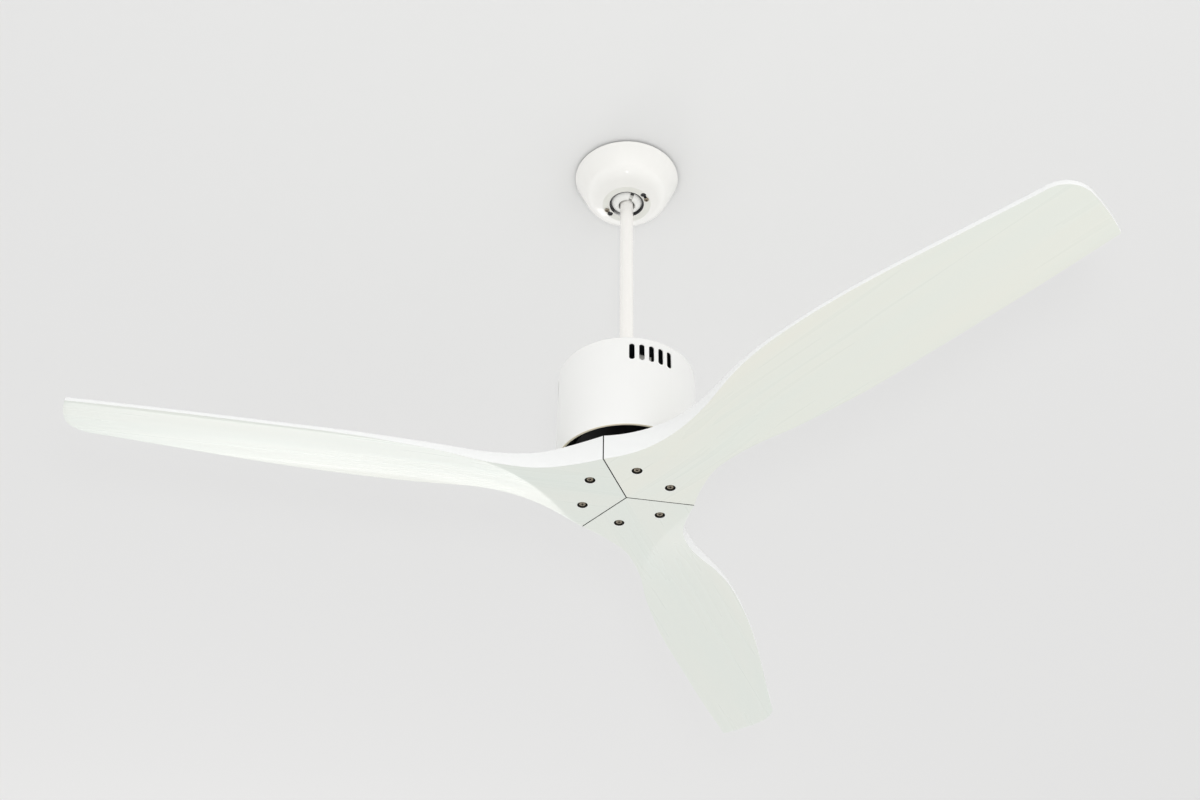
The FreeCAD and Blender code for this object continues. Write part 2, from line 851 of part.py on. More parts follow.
coil_start = stator_yoke_outer + coil_root_gap
lead_places = (-lead_spread, 0.0, lead_spread)
supply_leads = group([supply_lead(x) for x in lead_places])
motor_leads = group([motor_lead(x) for x in lead_places])
plug_depth = (lead_in_rod - plug_half_depth, lead_in_rod + plug_half_depth)
plug_span = (plug_bottom, plug_bottom + plug_height)
lead_plug = block((-plug_half_width, plug_half_width), plug_depth, plug_span)


# Motor shaft, its pin, clips and spacers
def make_shaft():
    body = tube(shaft_radius, shaft_bore, shaft_bottom, shaft_top)
    far = 2 * shaft_radius
    tools = [bar_along(shaft_pin, Vector(-far, 0, shaft_pin_height), along_x, 2 * far)]
    across = (-window_half, window_half)
    tools.append(block(across, (-far, far), shaft_window))
    tools.append(block(across, (0, far), coil_window))
    groove = tube(far, shaft_radius - clip_groove, 0, clip_thick)
    tools.append(moved(groove, Vector(0, 0, upper_bearing_top)))
    tools.append(moved(groove, Vector(0, 0, lower_bearing_bottom - clip_thick)))
    return cut_all(body, tools)


motor_shaft = make_shaft()
shaft_pin_end = Vector(-coupler_boss, 0, shaft_pin_height)
shaft_cross_pin = bar_along(shaft_pin, shaft_pin_end, along_x, 2 * coupler_boss)


def make_clips():
    ring = tube(clip_radius, shaft_radius - clip_groove, 0, clip_thick)
    opening = block((0, 2 * clip_radius), (-shaft_radius / 2, shaft_radius / 2), (0, clip_thick))
    ring = ring.cut(opening)
    places = (upper_bearing_top, lower_bearing_bottom - clip_thick)
    return group([moved(ring, Vector(0, 0, z)) for z in places])


shaft_clips = make_clips()
bearing_inner = shaft_radius + bearing_ring
upper_spacer = tube(bearing_inner - running_gap, shaft_radius, stack_top, upper_bearing_bottom)
upper_spacer = upper_spacer.cut(block((-window_half, window_half), (0, 2 * bearing_inner), coil_window))
lower_spacer = tube(bearing_inner - running_gap, shaft_radius, lower_bearing_top, stack_bottom)
bearing_spacers = group([upper_spacer, lower_spacer])


# Bearings
pitch_radius = (shaft_radius + bearing_radius) / 2
race = bearing_ball + running_gap


def race_ring(middle):
    return Part.makeTorus(pitch_radius, race, Vector(0, 0, middle), up)


def bearing_set(low):
    middle = low + bearing_width / 2
    high = low + bearing_width
    inner = tube(bearing_inner, shaft_radius, low, high).cut(race_ring(middle))
    outer = tube(bearing_radius, bearing_radius - bearing_ring, low, high).cut(race_ring(middle))
    ball = Part.makeSphere(bearing_ball, Vector(pitch_radius, 0, middle))
    balls = ring_of(ball, bearing_ball_count)
    low_edge = middle - cage_half_height
    high_edge = middle + cage_half_height
    cage = tube(pitch_radius + cage_half_wall, pitch_radius - cage_half_wall, low_edge, high_edge)
    pocket = bar_along(bearing_ball + running_gap, Vector(0, 0, middle), along_x, 2 * pitch_radius)
    cage = cut_all(cage, ring_of(pocket, bearing_ball_count))
    return inner, outer, balls, cage


upper_set = bearing_set(upper_bearing_bottom)
lower_set = bearing_set(lower_bearing_bottom)
bearing_inner_rings = group([upper_set[0], lower_set[0]])
bearing_outer_rings = group([upper_set[1], lower_set[1]])
bearing_balls = group(upper_set[2] + lower_set[2])
bearing_cages = group([upper_set[3], lower_set[3]])

# Stator
stator_hub = tube(stator_yoke_inner, shaft_radius, stack_bottom, stack_top)


def make_stator():
    yoke = tube(stator_yoke_outer, stator_yoke_inner, stack_bottom, stack_top)
    root = (stator_yoke_inner + stator_yoke_outer) / 2
    span = (stack_bottom, stack_top)
    half = tooth_width / 2
    neck = block((root, stator_radius - stator_shoe / 2), (-half, half), span)
    shoe = tube(stator_radius, stator_radius - stator_shoe, stack_bottom, stack_top)
    gap = block((root, 2 * stator_radius), (-slot_opening / 2, slot_opening / 2), span)
    shoe = cut_all(shoe, ring_of(gap, tooth_count, 180.0 / tooth_count))
    return join([yoke, shoe] + ring_of(neck, tooth_count))


stator_core = make_stator()


def make_windings():
    # A wound coil sits round each tooth as one ring
    half = tooth_width / 2
    outer = half + coil_thick
    finish = math.sqrt((stator_radius - stator_shoe) ** 2 - outer ** 2) - contact_free
    low = stack_bottom - coil_overhang
    high = stack_top + coil_overhang
    coil = block((coil_start, finish), (-outer, outer), (low, high))
    along = [e for e in coil.Edges if e.BoundBox.XLength > coil_thick]
    coil = coil.makeFillet(coil_thick * 0.8, along)
    coil = coil.cut(block((coil_start, finish), (-half, half), (stack_bottom, stack_top)))
    return group(ring_of(coil, tooth_count))


stator_windings = make_windings()


# Rotor covers, magnets and their ring
def make_upper_cover():
    inner = ring_outer
    boss = bearing_radius + bearing_boss_wall
    body = lathe([
        (hub_bore, motor_top),
        (motor_radius, motor_top),
        (motor_radius, motor_mid),
        (inner, motor_mid),
        (inner, motor_top - motor_sheet),
        (boss, motor_top - motor_sheet),
        (boss, upper_bearing_bottom),
        (bearing_radius, upper_bearing_bottom),
        (bearing_radius, upper_bearing_top),
        (hub_bore, upper_bearing_top),
    ])
    flange = tube(motor_radius + motor_flange, inner, motor_mid, motor_mid + motor_sheet)
    return cut_all(join([body, flange]), flange_holes(motor_mid, motor_mid + motor_sheet))


def flange_holes(low, high):
    hole = bar(cover_screw + thread_gap, low, high, Vector(motor_radius + motor_flange / 2, 0, 0))
    return ring_of(hole, cover_screw_count)


def make_lower_cover():
    inner = ring_outer
    boss = bearing_radius + bearing_boss_wall
    pad_top = motor_bottom + hub_pad
    body = lathe([
        (motor_radius, motor_mid),
        (motor_radius, motor_bottom),
        (hub_bore, motor_bottom),
        (hub_bore, lower_bearing_bottom),
        (bearing_radius, lower_bearing_bottom),
        (bearing_radius, lower_bearing_top),
        (boss, lower_bearing_top),
        (boss, pad_top),
        (hub_boss, pad_top),
        (hub_boss, motor_bottom + motor_sheet),
        (inner, motor_bottom + motor_sheet),
        (inner, motor_mid),
    ])
    flange = tube(motor_radius + motor_flange, inner, motor_mid - motor_sheet, motor_mid)
    body = cut_all(join([body, flange]), flange_holes(motor_mid - motor_sheet, motor_mid))
    hole_top = motor_bottom + hub_screw_reach + hub_hole_spare
    hole = bar(hub_screw + thread_gap, motor_bottom, hole_top, Vector(hub_screw_circle, 0, 0))
    return cut_all(body, ring_of(hole, hub_screw_count, hub_screw_turn))


def make_hub_spacer():
    pocket_floor = (lower_bearing_bottom + plate_top) / 2
    body = lathe([
        (hub_bore, motor_bottom),
        (hub_boss, motor_bottom),
        (hub_boss, plate_top),
        (0, plate_top),
        (0, pocket_floor),
        (hub_bore, pocket_floor),
    ])
    hole = bar(hub_screw + contact_free, plate_top, motor_bottom, Vector(hub_screw_circle, 0, 0))
    return cut_all(body, ring_of(hole, hub_screw_count, hub_screw_turn))


rotor_upper_cover = make_upper_cover()
rotor_lower_cover = make_lower_cover()
hub_spacer = make_hub_spacer()
cover_bolt = pan_screw_down(cover_screw, 2 * motor_sheet + cover_screw_proud)
cover_bolt = moved(cover_bolt, Vector(motor_radius + motor_flange / 2, 0, motor_mid + motor_sheet))
rotor_screws = group(ring_of(cover_bolt, cover_screw_count))
magnet_reach = stack_height / 2 + magnet_overhang
rotor_ring = tube(ring_outer, magnet_outer, motor_mid - magnet_reach, motor_mid + magnet_reach)


def make_magnets():
    whole = tube(magnet_outer, magnet_inner, motor_mid - magnet_reach, motor_mid + magnet_reach)
    half = magnet_gap / 2
    gap = block((0, 2 * magnet_outer), (-half, half), (motor_mid - magnet_reach, motor_mid + magnet_reach))
    return group(cut_all(whole, ring_of(gap, magnet_count)).Solids)


rotor_magnets = make_magnets()


# Hub plate that carries the blades
def make_hub_plate():
    disc = bar(hub_plate_radius, board_top_height, plate_top)
    tools = []
    for blade in range(blade_number):
        for side in (-1, 1):
            angle = first_blade + 360.0 / blade_number * blade + side * blade_screw_spread
            place = at(blade_screw_circle, angle)
            tools.append(bar(blade_screw + thread_gap, board_top_height, plate_top, place))
    place = Vector(hub_screw_circle, 0, board_top_height)
    sink = Part.makeCone(2 * hub_screw + thread_gap, hub_screw + thread_gap, hub_screw, place)
    hole = sink.fuse(bar(hub_screw + thread_gap, board_top_height, plate_top, place))
    return cut_all(disc, tools + ring_of(hole, hub_screw_count, hub_screw_turn))


blade_plate = make_hub_plate()


def make_hub_screws():
    head = Part.makeCone(2 * hub_screw, hub_screw, hub_screw)
    shank = bar(hub_screw, 0, motor_bottom + hub_screw_reach - board_top_height)
    screw = head.fuse(shank).cut(cross_recess(2 * hub_screw, hub_screw * 0.6)).removeSplitter()
    placed = moved(screw, Vector(hub_screw_circle, 0, board_top_height))
    return group(ring_of(placed, hub_screw_count, hub_screw_turn))


hub_screws = make_hub_screws()


# Carved blades
seam_slope = 180.0 / blade_number
apex = Vector(seam_gap / 2 / math.sin(math.radians(seam_slope)), 0, 0)
root_corner = apex + at(seam_length, seam_slope)
crease_far = crease_share * blade_chord


def from_corner(s):
    return max(0.0, s - root_corner.x)


def crease(s):
    fade = math.exp(-(from_corner(s) / crease_fade) ** crease_power)
    return crease_far - (crease_far + root_corner.y) * fade


def underside(s, t):
    slope = under_slope * (1 - math.exp(-from_corner(s) / under_fade))
    return slope * (crease(s) - t) - running_gap


def rootside(s, t):
    # The board stands highest along its root and falls away from there
    return board_height - root_rise * (1 - math.exp(-from_corner(s) / root_fade)) + running_gap


def topside(s, t):
    start = 1 - math.exp(-from_corner(s) / top_fade)
    bulge = crown * max(0.0, crease(s) / crease_far) * (1 - (2 * t / blade_chord) ** 2)
    return rootside(s, t) - top_slope * start * (t + crease(s)) + bulge


def carving_tool(level, depth):
    rows = 16
    columns = 7
    start = root_corner.x
    finish = sweep_radius + carve_margin
    half = root_corner.y + carve_margin
    grid = []
    for i in range(rows + 1):
        s = start + (finish - start) * (i / rows) ** 1.7
        across = [half * (2 * j / (columns - 1) - 1) for j in range(columns)]
        grid.append([Vector(s, t, level(s, t)) for t in across])
    surface = Part.BSplineSurface()
    surface.interpolate(grid)
    return surface.toShape().extrude(Vector(0, 0, depth))


def blade_outline():
    lower_corner = Vector(root_corner.x, -root_corner.y, 0)
    near = [root_corner]
    far = [lower_corner]
    for share, near_half, far_half in edge_stations:
        near.append(Vector(share * sweep_radius, near_half * blade_chord, 0))
        far.append(Vector(share * sweep_radius, -far_half * blade_chord, 0))
    near.append(Vector(tip_corner[0] * sweep_radius, tip_corner[1] * blade_chord, 0))
    far_edge = -tip_far_edge * blade_chord
    centre = Vector(sweep_radius - tip_round, far_edge + tip_round, 0)
    far.append(Vector(centre.x, far_edge, 0))
    round_end = Vector(sweep_radius, centre.y, 0)
    bow = Vector(tip_bow[0] * sweep_radius, tip_bow[1] * blade_chord, 0)
    edges = [
        line(apex, root_corner),
        curve(near),
        Part.Arc(near[-1], bow, round_end).toShape(),
        Part.Arc(round_end, centre + at(tip_round, -45), far[-1]).toShape(),
        curve(far),
        line(lower_corner, apex),
    ]
    return Part.Face(Part.Wire(Part.__sortEdges__(edges)))


def make_blade():
    board = blade_outline().extrude(Vector(0, 0, board_height))
    blade = board.cut(carving_tool(underside, -2 * board_height))
    blade = blade.cut(carving_tool(rootside, 2 * board_height))
    blade = blade.cut(carving_tool(topside, 2 * board_height))
    tools = []
    for side in (-1, 1):
        place = at(blade_screw_circle, side * blade_screw_spread)
        tools.append(bar(counterbore, 0, counterbore_depth, place))
        tools.append(bar(blade_screw + contact_free, 0, board_height, place))
    return moved(cut_all(blade, tools), Vector(0, 0, board_bottom))


blade_solid = make_blade()
blades = [turned(blade_solid, first_blade + 360.0 / blade_number * k) for k in range(blade_number)]


def on_blade_screws(piece):
    copies = []
    for side in (-1, 1):
        placed = moved(piece, Vector(blade_screw_circle, 0, 0))
        copies += ring_of(placed, blade_number, first_blade + side * blade_screw_spread)
    return group(copies)


washer_top = board_bottom + counterbore_depth
washer_bottom = washer_top - washer_thick
blade_screw_length = plate_top - washer_bottom + blade_screw_end
blade_bolt = moved(pan_screw(blade_screw, blade_screw_length), Vector(0, 0, washer_bottom))
blade_screws = on_blade_screws(blade_bolt)
blade_washer = tube(counterbore - free_gap, blade_screw + thread_gap, washer_bottom, washer_top)
blade_washers = on_blade_screws(blade_washer)

os.makedirs("parts", exist_ok=True)
ceiling_bracket.exportStep("parts/ceiling_bracket.step")
canopy_screws.exportStep("parts/canopy_screws.step")
earth_screw.exportStep("parts/earth_screw.step")
terminal_block.exportStep("parts/terminal_block.step")
remote_receiver.exportStep("parts/remote_receiver.step")
canopy.exportStep("parts/canopy.step")
hanger_ball.exportStep("parts/hanger_ball.step")
ball_cross_pin.exportStep("parts/ball_cross_pin.step")
ball_set_screw.exportStep("parts/ball_set_screw.step")
downrod.exportStep("parts/downrod.step")
supply_leads.exportStep("parts/supply_leads.step")
lead_plug.exportStep("parts/lead_plug.step")
rod_coupler.exportStep("parts/rod_coupler.step")
coupler_pin_solid.exportStep("parts/coupler_pin.step")
coupler_clip.exportStep("parts/coupler_clip.step")
coupler_set_screws.exportStep("parts/coupler_set_screws.step")
coupling_cover.exportStep("parts/coupling_cover.step")
motor_housing.exportStep("parts/motor_housing.step")
housing_screws.exportStep("parts/housing_screws.step")
driver_board.exportStep("parts/driver_board.step")
board_standoffs.exportStep("parts/board_standoffs.step")
board_screws.exportStep("parts/board_screws.step")
smoothing_capacitors.exportStep("parts/smoothing_capacitors.step")
filter_coil.exportStep("parts/filter_coil.step")
heat_sink.exportStep("parts/heat_sink.step")
board_sockets.exportStep("parts/board_sockets.step")
motor_leads.exportStep("parts/motor_leads.step")
motor_shaft.exportStep("parts/motor_shaft.step")
shaft_cross_pin.exportStep("parts/shaft_cross_pin.step")
shaft_clips.exportStep("parts/shaft_clips.step")
bearing_spacers.exportStep("parts/bearing_spacers.step")
bearing_inner_rings.exportStep("parts/bearing_inner_rings.step")
bearing_outer_rings.exportStep("parts/bearing_outer_rings.step")
bearing_balls.exportStep("parts/bearing_balls.step")
bearing_cages.exportStep("parts/bearing_cages.step")
stator_hub.exportStep("parts/stator_hub.step")
stator_core.exportStep("parts/stator_core.step")
stator_windings.exportStep("parts/stator_windings.step")
rotor_upper_cover.exportStep("parts/rotor_upper_cover.step")
rotor_lower_cover.exportStep("parts/rotor_lower_cover.step")
hub_spacer.exportStep("parts/hub_spacer.step")
rotor_screws.exportStep("parts/rotor_screws.step")
rotor_ring.exportStep("parts/rotor_ring.step")
rotor_magnets.exportStep("parts/rotor_magnets.step")
blade_plate.exportStep("parts/blade_plate.step")
hub_screws.exportStep("parts/hub_screws.step")
blades[0].exportStep("parts/blade_1.step")
blades[1].exportStep("parts/blade_2.step")
blades[2].exportStep("parts/blade_3.step")
blade_screws.exportStep("parts/blade_screws.step")
blade_washers.exportStep("parts/blade_washers.step")
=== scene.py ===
import bmesh
import bpy
import math
from mathutils import Matrix, Vector


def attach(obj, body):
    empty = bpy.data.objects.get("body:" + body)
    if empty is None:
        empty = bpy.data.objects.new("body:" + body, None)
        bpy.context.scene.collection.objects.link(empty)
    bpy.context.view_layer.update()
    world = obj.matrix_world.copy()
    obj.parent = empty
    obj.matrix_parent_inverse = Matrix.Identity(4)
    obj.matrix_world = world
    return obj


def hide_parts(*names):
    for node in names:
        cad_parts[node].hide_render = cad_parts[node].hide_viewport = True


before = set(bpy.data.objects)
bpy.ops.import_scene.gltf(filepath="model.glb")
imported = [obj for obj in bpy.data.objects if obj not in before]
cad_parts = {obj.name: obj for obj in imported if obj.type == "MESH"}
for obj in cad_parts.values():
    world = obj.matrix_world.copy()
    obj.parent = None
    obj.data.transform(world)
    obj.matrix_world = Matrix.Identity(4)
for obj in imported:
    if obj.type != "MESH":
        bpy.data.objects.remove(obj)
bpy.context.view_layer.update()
print("frame loaded with", len(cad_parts), "nodes")

mm = 0.001
tau = 2 * math.pi


# Shader maths as plain expressions
class Value:
    def __init__(self, finish, socket):
        self.finish = finish
        self.socket = socket

    def maths(self, operation, first, second):
        return self.finish.add("Math", {"operation": operation}, {0: first, 1: second})

    def __add__(self, other):
        return self.maths("ADD", self, other)

    def __radd__(self, other):
        return self.maths("ADD", other, self)

    def __mul__(self, other):
        return self.maths("MULTIPLY", self, other)

    def __rmul__(self, other):
        return self.maths("MULTIPLY", other, self)


class Finish:  # a material and its nodes
    def __init__(self, name, **sockets):
        self.material = bpy.data.materials.new(name)
        self.material.use_nodes = True
        self.tree = self.material.node_tree
        self.shader = self.tree.nodes["Principled BSDF"]
        self.set(**sockets)

    def feed(self, socket, value):
        if isinstance(value, Value):
            self.tree.links.new(value.socket, socket)
        else:
            socket.default_value = value

    def add(self, kind, settings=None, inputs=None, output=0):
        node = self.tree.nodes.new("ShaderNode" + kind)
        for key, value in (settings or {}).items():
            if key == "stops":
                ramp = node.color_ramp.elements
                while len(ramp) < len(value):
                    ramp.new(0.5)
                for stop, (place, colour) in zip(ramp, value):
                    stop.position = place
                    stop.color = colour
            elif key == "blend":
                node.color_ramp.interpolation = value
            else:
                setattr(node, key, value)
        for key, value in (inputs or {}).items():
            self.feed(node.inputs[key], value)
        return Value(self, node.outputs[output])

    def set(self, **sockets):
        names = {"colour": "Base Color", "rough": "Roughness", "metal": "Metallic", "normal": "Normal",
                 "coat": "Coat Weight", "coatRough": "Coat Roughness", "shine": "Specular IOR Level"}
        for key, value in sockets.items():
            self.feed(self.shader.inputs[names[key]], value)
        return self

    def place(self, turn=0.0, stretch=(1, 1, 1)):  # object coordinates, turned about Z, then stretched
        spot = self.add("TexCoord", output="Object")
        spot = self.add("Mapping", {"vector_type": "POINT"}, {"Vector": spot, "Rotation": (0, 0, -turn)})
        return self.add("Mapping", {"vector_type": "POINT"}, {"Vector": spot, "Scale": stretch})

    def speckle(self, spot, scale, detail):
        return self.add("TexNoise", inputs={"Vector": spot, "Scale": scale, "Detail": detail})

    def between(self, factor, first, second):
        return self.add("Mix", {"data_type": "RGBA"}, {0: factor, 6: first, 7: second}, 2)

    def bump(self, height, strength, depth):
        return self.add("Bump", inputs={"Height": height, "Strength": strength, "Distance": depth})


class Sky(Finish):  # the same for a world's nodes
    def __init__(self, world):
        self.tree = world.node_tree


def tone(red, green, blue):  # a colour as it looks on a screen, 0 to 255, by the sRGB curve
    line = [(c / 255 / 12.92) if c <= 10 else ((c / 255 + 0.055) / 1.055) ** 2.4 for c in (red, green, blue)]
    return (*line, 1.0)


def shade(colour, share=1.0):
    return (*(c * share for c in colour[:3]), 1.0)


# Paints and metals
paintLevels = {
    # the canopy foot's colour is the canopy paint made darker: painted shade on the downward flat
    "housing": (234, 234, 232), "canopy": (232, 231, 227), "canopyFootShade": (222, 222, 215), "rod": (235, 233, 229),
    "ball": (232, 232, 228), "lip": (238, 230, 208), "bladeSide": (232, 233, 232),
}
# underside tones of the white-painted blades, darker and greener than the side paint: painted shade and painted green
# bounce light; the three blades' tones differ
bladeShadedTints = (
    ((216, 222, 215), (221, 223, 215)),
    ((221, 225, 217), (225, 225, 215)),
    ((218, 223, 216), (222, 224, 216)),
)
bladeFinish = {
    "shine": 0.28, "coat": 0.16, "coatRough": 0.14, "rough": 0.18, "roughSpread": 0.24,
    "layers": (((2.2, 26, 26), 2.0), ((3.0, 90, 90), 1.5), ((14, 480, 480), 2.0)),
    "tintShares": (0.8, 0.2), "tintFrom": 0.3, "tintTo": 0.76,
    "relief": (0.8, 0.07, 0.03), "strength": 0.6, "depth": 0.0014,
}


def bladePaint(name, turn, cool, mild):  # broad bands, grain and pores along the blade; its given tones hold painted shade and painted green bounce light
    f = bladeFinish
    finish = Finish(name, shine=f["shine"], coat=f["coat"], coatRough=f["coatRough"])
    broad, grain, pores = (finish.speckle(finish.place(turn, stretch), 1.0, detail) for stretch, detail in f["layers"])
    stops = [(f["tintFrom"], (0, 0, 0, 1)), (f["tintTo"], (1, 1, 1, 1))]
    tint = broad * f["tintShares"][0] + grain * f["tintShares"][1]
    warm = finish.add("ValToRGB", {"stops": stops}, {"Fac": tint})
    finish.set(colour=finish.between(warm, tone(*cool), tone(*mild)), rough=f["rough"] + f["roughSpread"] * grain)
    height = broad * f["relief"][0] + grain * f["relief"][1] + pores * f["relief"][2]
    return finish.set(normal=finish.bump(height, f["strength"], f["depth"])).material


sprayFinish = {"coatRough": 0.06, "fineScale": 520, "fineDetail": 3.0, "cloudScale": 14, "cloudDetail": 2.0,
               "cloudShare": 0.5, "dim": 0.965, "roughSpread": 0.08, "depth": 0.0003}


def sprayPaint(name, level, rough, peel, coat):
    f = sprayFinish
    finish = Finish(name, coat=coat, coatRough=f["coatRough"])
    spot = finish.place()
    fine = finish.speckle(spot, f["fineScale"], f["fineDetail"])
    cloud = finish.speckle(spot, f["cloudScale"], f["cloudDetail"])
    full = tone(*level)
    colour = finish.between(cloud * f["cloudShare"], full, shade(full, f["dim"]))
    finish.set(colour=colour, rough=rough + f["roughSpread"] * fine)
    return finish.set(normal=finish.bump(fine, peel, f["depth"])).material


metalFinish = {"brushScale": 3.0, "brushDetail": 4.0, "brushShare": 0.6, "blotchScale": 90, "blotchDetail": 3.0,
               "blotchShare": 0.4, "roughSpread": 0.2, "strength": 0.15, "depth": 0.0002}


def plainMetal(name, colour, rough, streak=(30, 30, 400), wear=0.35):
    f = metalFinish
    finish = Finish(name, metal=1.0)
    brushed = finish.speckle(finish.place(0, streak), f["brushScale"], f["brushDetail"])
    blotch = finish.speckle(finish.place(), f["blotchScale"], f["blotchDetail"])
    worn = brushed * f["brushShare"] + blotch * f["blotchShare"]
    colour = finish.between(worn, shade(colour), shade(colour, 1 - wear))
    finish.set(colour=colour, rough=rough + f["roughSpread"] * brushed)
    return finish.set(normal=finish.bump(brushed, f["strength"], f["depth"])).material


mouldFinish = {"fineScale": 700, "cloudScale": 40, "detail": 2.0, "dim": 0.9, "roughDrop": 0.1, "roughSpread": 0.2,
               "strength": 0.2, "depth": 0.0002}


def moulded(name, colour, rough):
    f = mouldFinish
    finish = Finish(name)
    spot = finish.place()
    fine = finish.speckle(spot, f["fineScale"], f["detail"])
    cloud = finish.speckle(spot, f["cloudScale"], f["detail"])
    colour = finish.between(cloud, shade(colour), shade(colour, f["dim"]))
    finish.set(colour=colour, rough=rough - f["roughDrop"] + f["roughSpread"] * fine)
    return finish.set(normal=finish.bump(fine, f["strength"], f["depth"])).material


leadFinish = {"rough": 0.45, "spread": 180, "middle": 0.5,
              "stops": [(0.0, (0.10, 0.035, 0.012, 1)), (0.35, (0.03, 0.08, 0.35, 1)), (0.65, (0.12, 0.32, 0.05, 1))]}


def leadSleeves(name):  # one colour for each of the three leads, side by side along X
    f = leadFinish
    finish = Finish(name, rough=f["rough"])
    across = finish.add("SeparateXYZ", inputs={"Vector": finish.place()})
    ramp = {"stops": f["stops"], "blend": "CONSTANT"}
    return finish.set(colour=finish.add("ValToRGB", ramp, {"Fac": across * f["spread"] + f["middle"]})).material


layerFinish = {"metal": 0.7, "sheet": 0.00025, "dim": 0.6, "rough": 0.5, "strength": 0.4, "depth": 0.0001}


def layered(name, colour):  # steel sheets stacked along Z
    f = layerFinish
    finish = Finish(name, metal=f["metal"], rough=f["rough"])
    height = finish.add("SeparateXYZ", inputs={"Vector": finish.place()}, output=2)
    sheets = height.maths("PINGPONG", height, f["sheet"]) * (1 / f["sheet"])
    finish.set(colour=finish.between(sheets, shade(colour), shade(colour, f["dim"])))
    return finish.set(normal=finish.bump(sheets, f["strength"], f["depth"])).material


paints = {
    "housing": sprayPaint("housingPaint", paintLevels["housing"], rough=0.34, peel=0.12, coat=0.15),
    "canopy": sprayPaint("canopyPaint", paintLevels["canopy"], rough=0.5, peel=0.04, coat=0.8),
    "canopyFootShade": sprayPaint("canopyFootShadePaint", paintLevels["canopyFootShade"], rough=0.5, peel=0.08, coat=0.2),
    "rod": sprayPaint("rodPaint", paintLevels["rod"], rough=0.22, peel=0.06, coat=0.3),
    "ball": moulded("ballPlastic", tone(*paintLevels["ball"]), rough=0.42),
    "bladeSide": sprayPaint("bladeSidePaint", paintLevels["bladeSide"], rough=0.3, peel=0.1, coat=0.3),
    # near-black painted shade for blade seams, screw pockets and cross recesses
    "recessShade": moulded("recessShadeBlack", (0.022, 0.021, 0.014), rough=0.7),
    # the lip's cream is partly its own primer tone and partly painted light, brightened against the shade under it
    "lip": moulded("housingLip", tone(*paintLevels["lip"]), rough=0.5),
    # near-black inside the housing: painted shade
    "inside": moulded("housingInsideShade", (0.010, 0.013, 0.018), rough=0.6),
    "bronze": plainMetal("bronzedScrew", (0.36, 0.31, 0.24), rough=0.18, streak=(200, 200, 200), wear=0.6),
    "washer": plainMetal("darkWasher", (0.06, 0.05, 0.042), rough=0.35, streak=(200, 200, 200), wear=0.6),
    "steel": plainMetal("platedSteel", (0.60, 0.60, 0.61), rough=0.30),
    "bracket": moulded("bracketBlack", (0.014, 0.014, 0.016), rough=0.4),
    "ground": plainMetal("groundSteel", (0.70, 0.70, 0.71), rough=0.16, streak=(600, 600, 8)),
    "brass": plainMetal("earthBrass", (0.72, 0.52, 0.22), rough=0.28),
    "cast": plainMetal("castAluminium", (0.58, 0.58, 0.60), rough=0.42, streak=(300, 300, 300)),
    "black": moulded("motorBlack", (0.012, 0.012, 0.013), rough=0.55),
    "core": layered("coreSheets", (0.22, 0.22, 0.23)),
    "copper": plainMetal("windingCopper", (0.72, 0.32, 0.13), rough=0.3, streak=(900, 900, 900), wear=0.5),
    "magnet": moulded("magnetGrey", (0.09, 0.09, 0.095), rough=0.4),
    "cage": moulded("cagePlastic", (0.22, 0.13, 0.06), rough=0.5),
    "board": moulded("boardLacquer", (0.012, 0.05, 0.11), rough=0.3),
    "sleeve": moulded("capacitorSleeve", (0.016, 0.017, 0.022), rough=0.28),
    "white": moulded("socketWhite", (0.74, 0.74, 0.70), rough=0.45),
    "receiver": moulded("receiverCase", (0.70, 0.70, 0.68), rough=0.5),
    "leads": leadSleeves("leadSleeves"),
}
print("paints mixed:", len(paints))

# Workshop
weldGap = 0.000002
blankRadius = 0.01


def clearBench():
    if bpy.context.object and bpy.context.object.mode != "OBJECT":
        bpy.ops.object.mode_set(mode="OBJECT")
    bpy.ops.object.select_all(action="DESELECT")


def named(name):
    piece = bpy.context.object
    piece.name = piece.data.name = name
    return piece


def pickUp(piece):
    clearBench()
    piece.select_set(True)
    bpy.context.view_layer.objects.active = piece
    return piece


def edit(piece):
    pickUp(piece)
    bpy.ops.object.mode_set(mode="EDIT")
    bpy.ops.mesh.select_mode(type="VERT")
    bpy.ops.mesh.select_all(action="SELECT")


def done(piece):
    bpy.ops.object.mode_set(mode="OBJECT")
    return piece


def pickPoints(piece, wanted):  # selects points of a piece in edit mode
    bpy.ops.mesh.select_all(action="DESELECT")
    sheet = bmesh.from_edit_mesh(piece.data)
    for vertex in sheet.verts:
        vertex.select = wanted(vertex.co)
    sheet.select_flush(True)
    bmesh.update_edit_mesh(piece.data)


def smooth(piece, degrees=35):
    pickUp(piece)
    bpy.ops.object.shade_smooth_by_angle(angle=math.radians(degrees))
    return piece


def polar(angle, radius=1.0):
    return Vector((math.cos(angle), math.sin(angle))) * radius


def rounded(corners, steps):  # corners are (radius from axis, height, rounding); the outline closes on itself
    outline = []
    for k, corner in enumerate(corners):
        here = Vector(corner[:2])
        size = corner[2] if len(corner) > 2 else 0
        if not size:
            outline.append(here)
            continue
        before = (Vector(corners[k - 1][:2]) - here).normalized()
        after = (Vector(corners[(k + 1) % len(corners)][:2]) - here).normalized()
        half = before.angle(after) / 2
        centre = here + (before + after).normalized() * size / math.sin(half)
        start = here + before * size / math.tan(half) - centre
        end = here + after * size / math.tan(half) - centre
        for n in range(steps + 1):
            share = n / steps
            outline.append(centre + (start * (1 - share) + end * share).normalized() * size)
    return outline


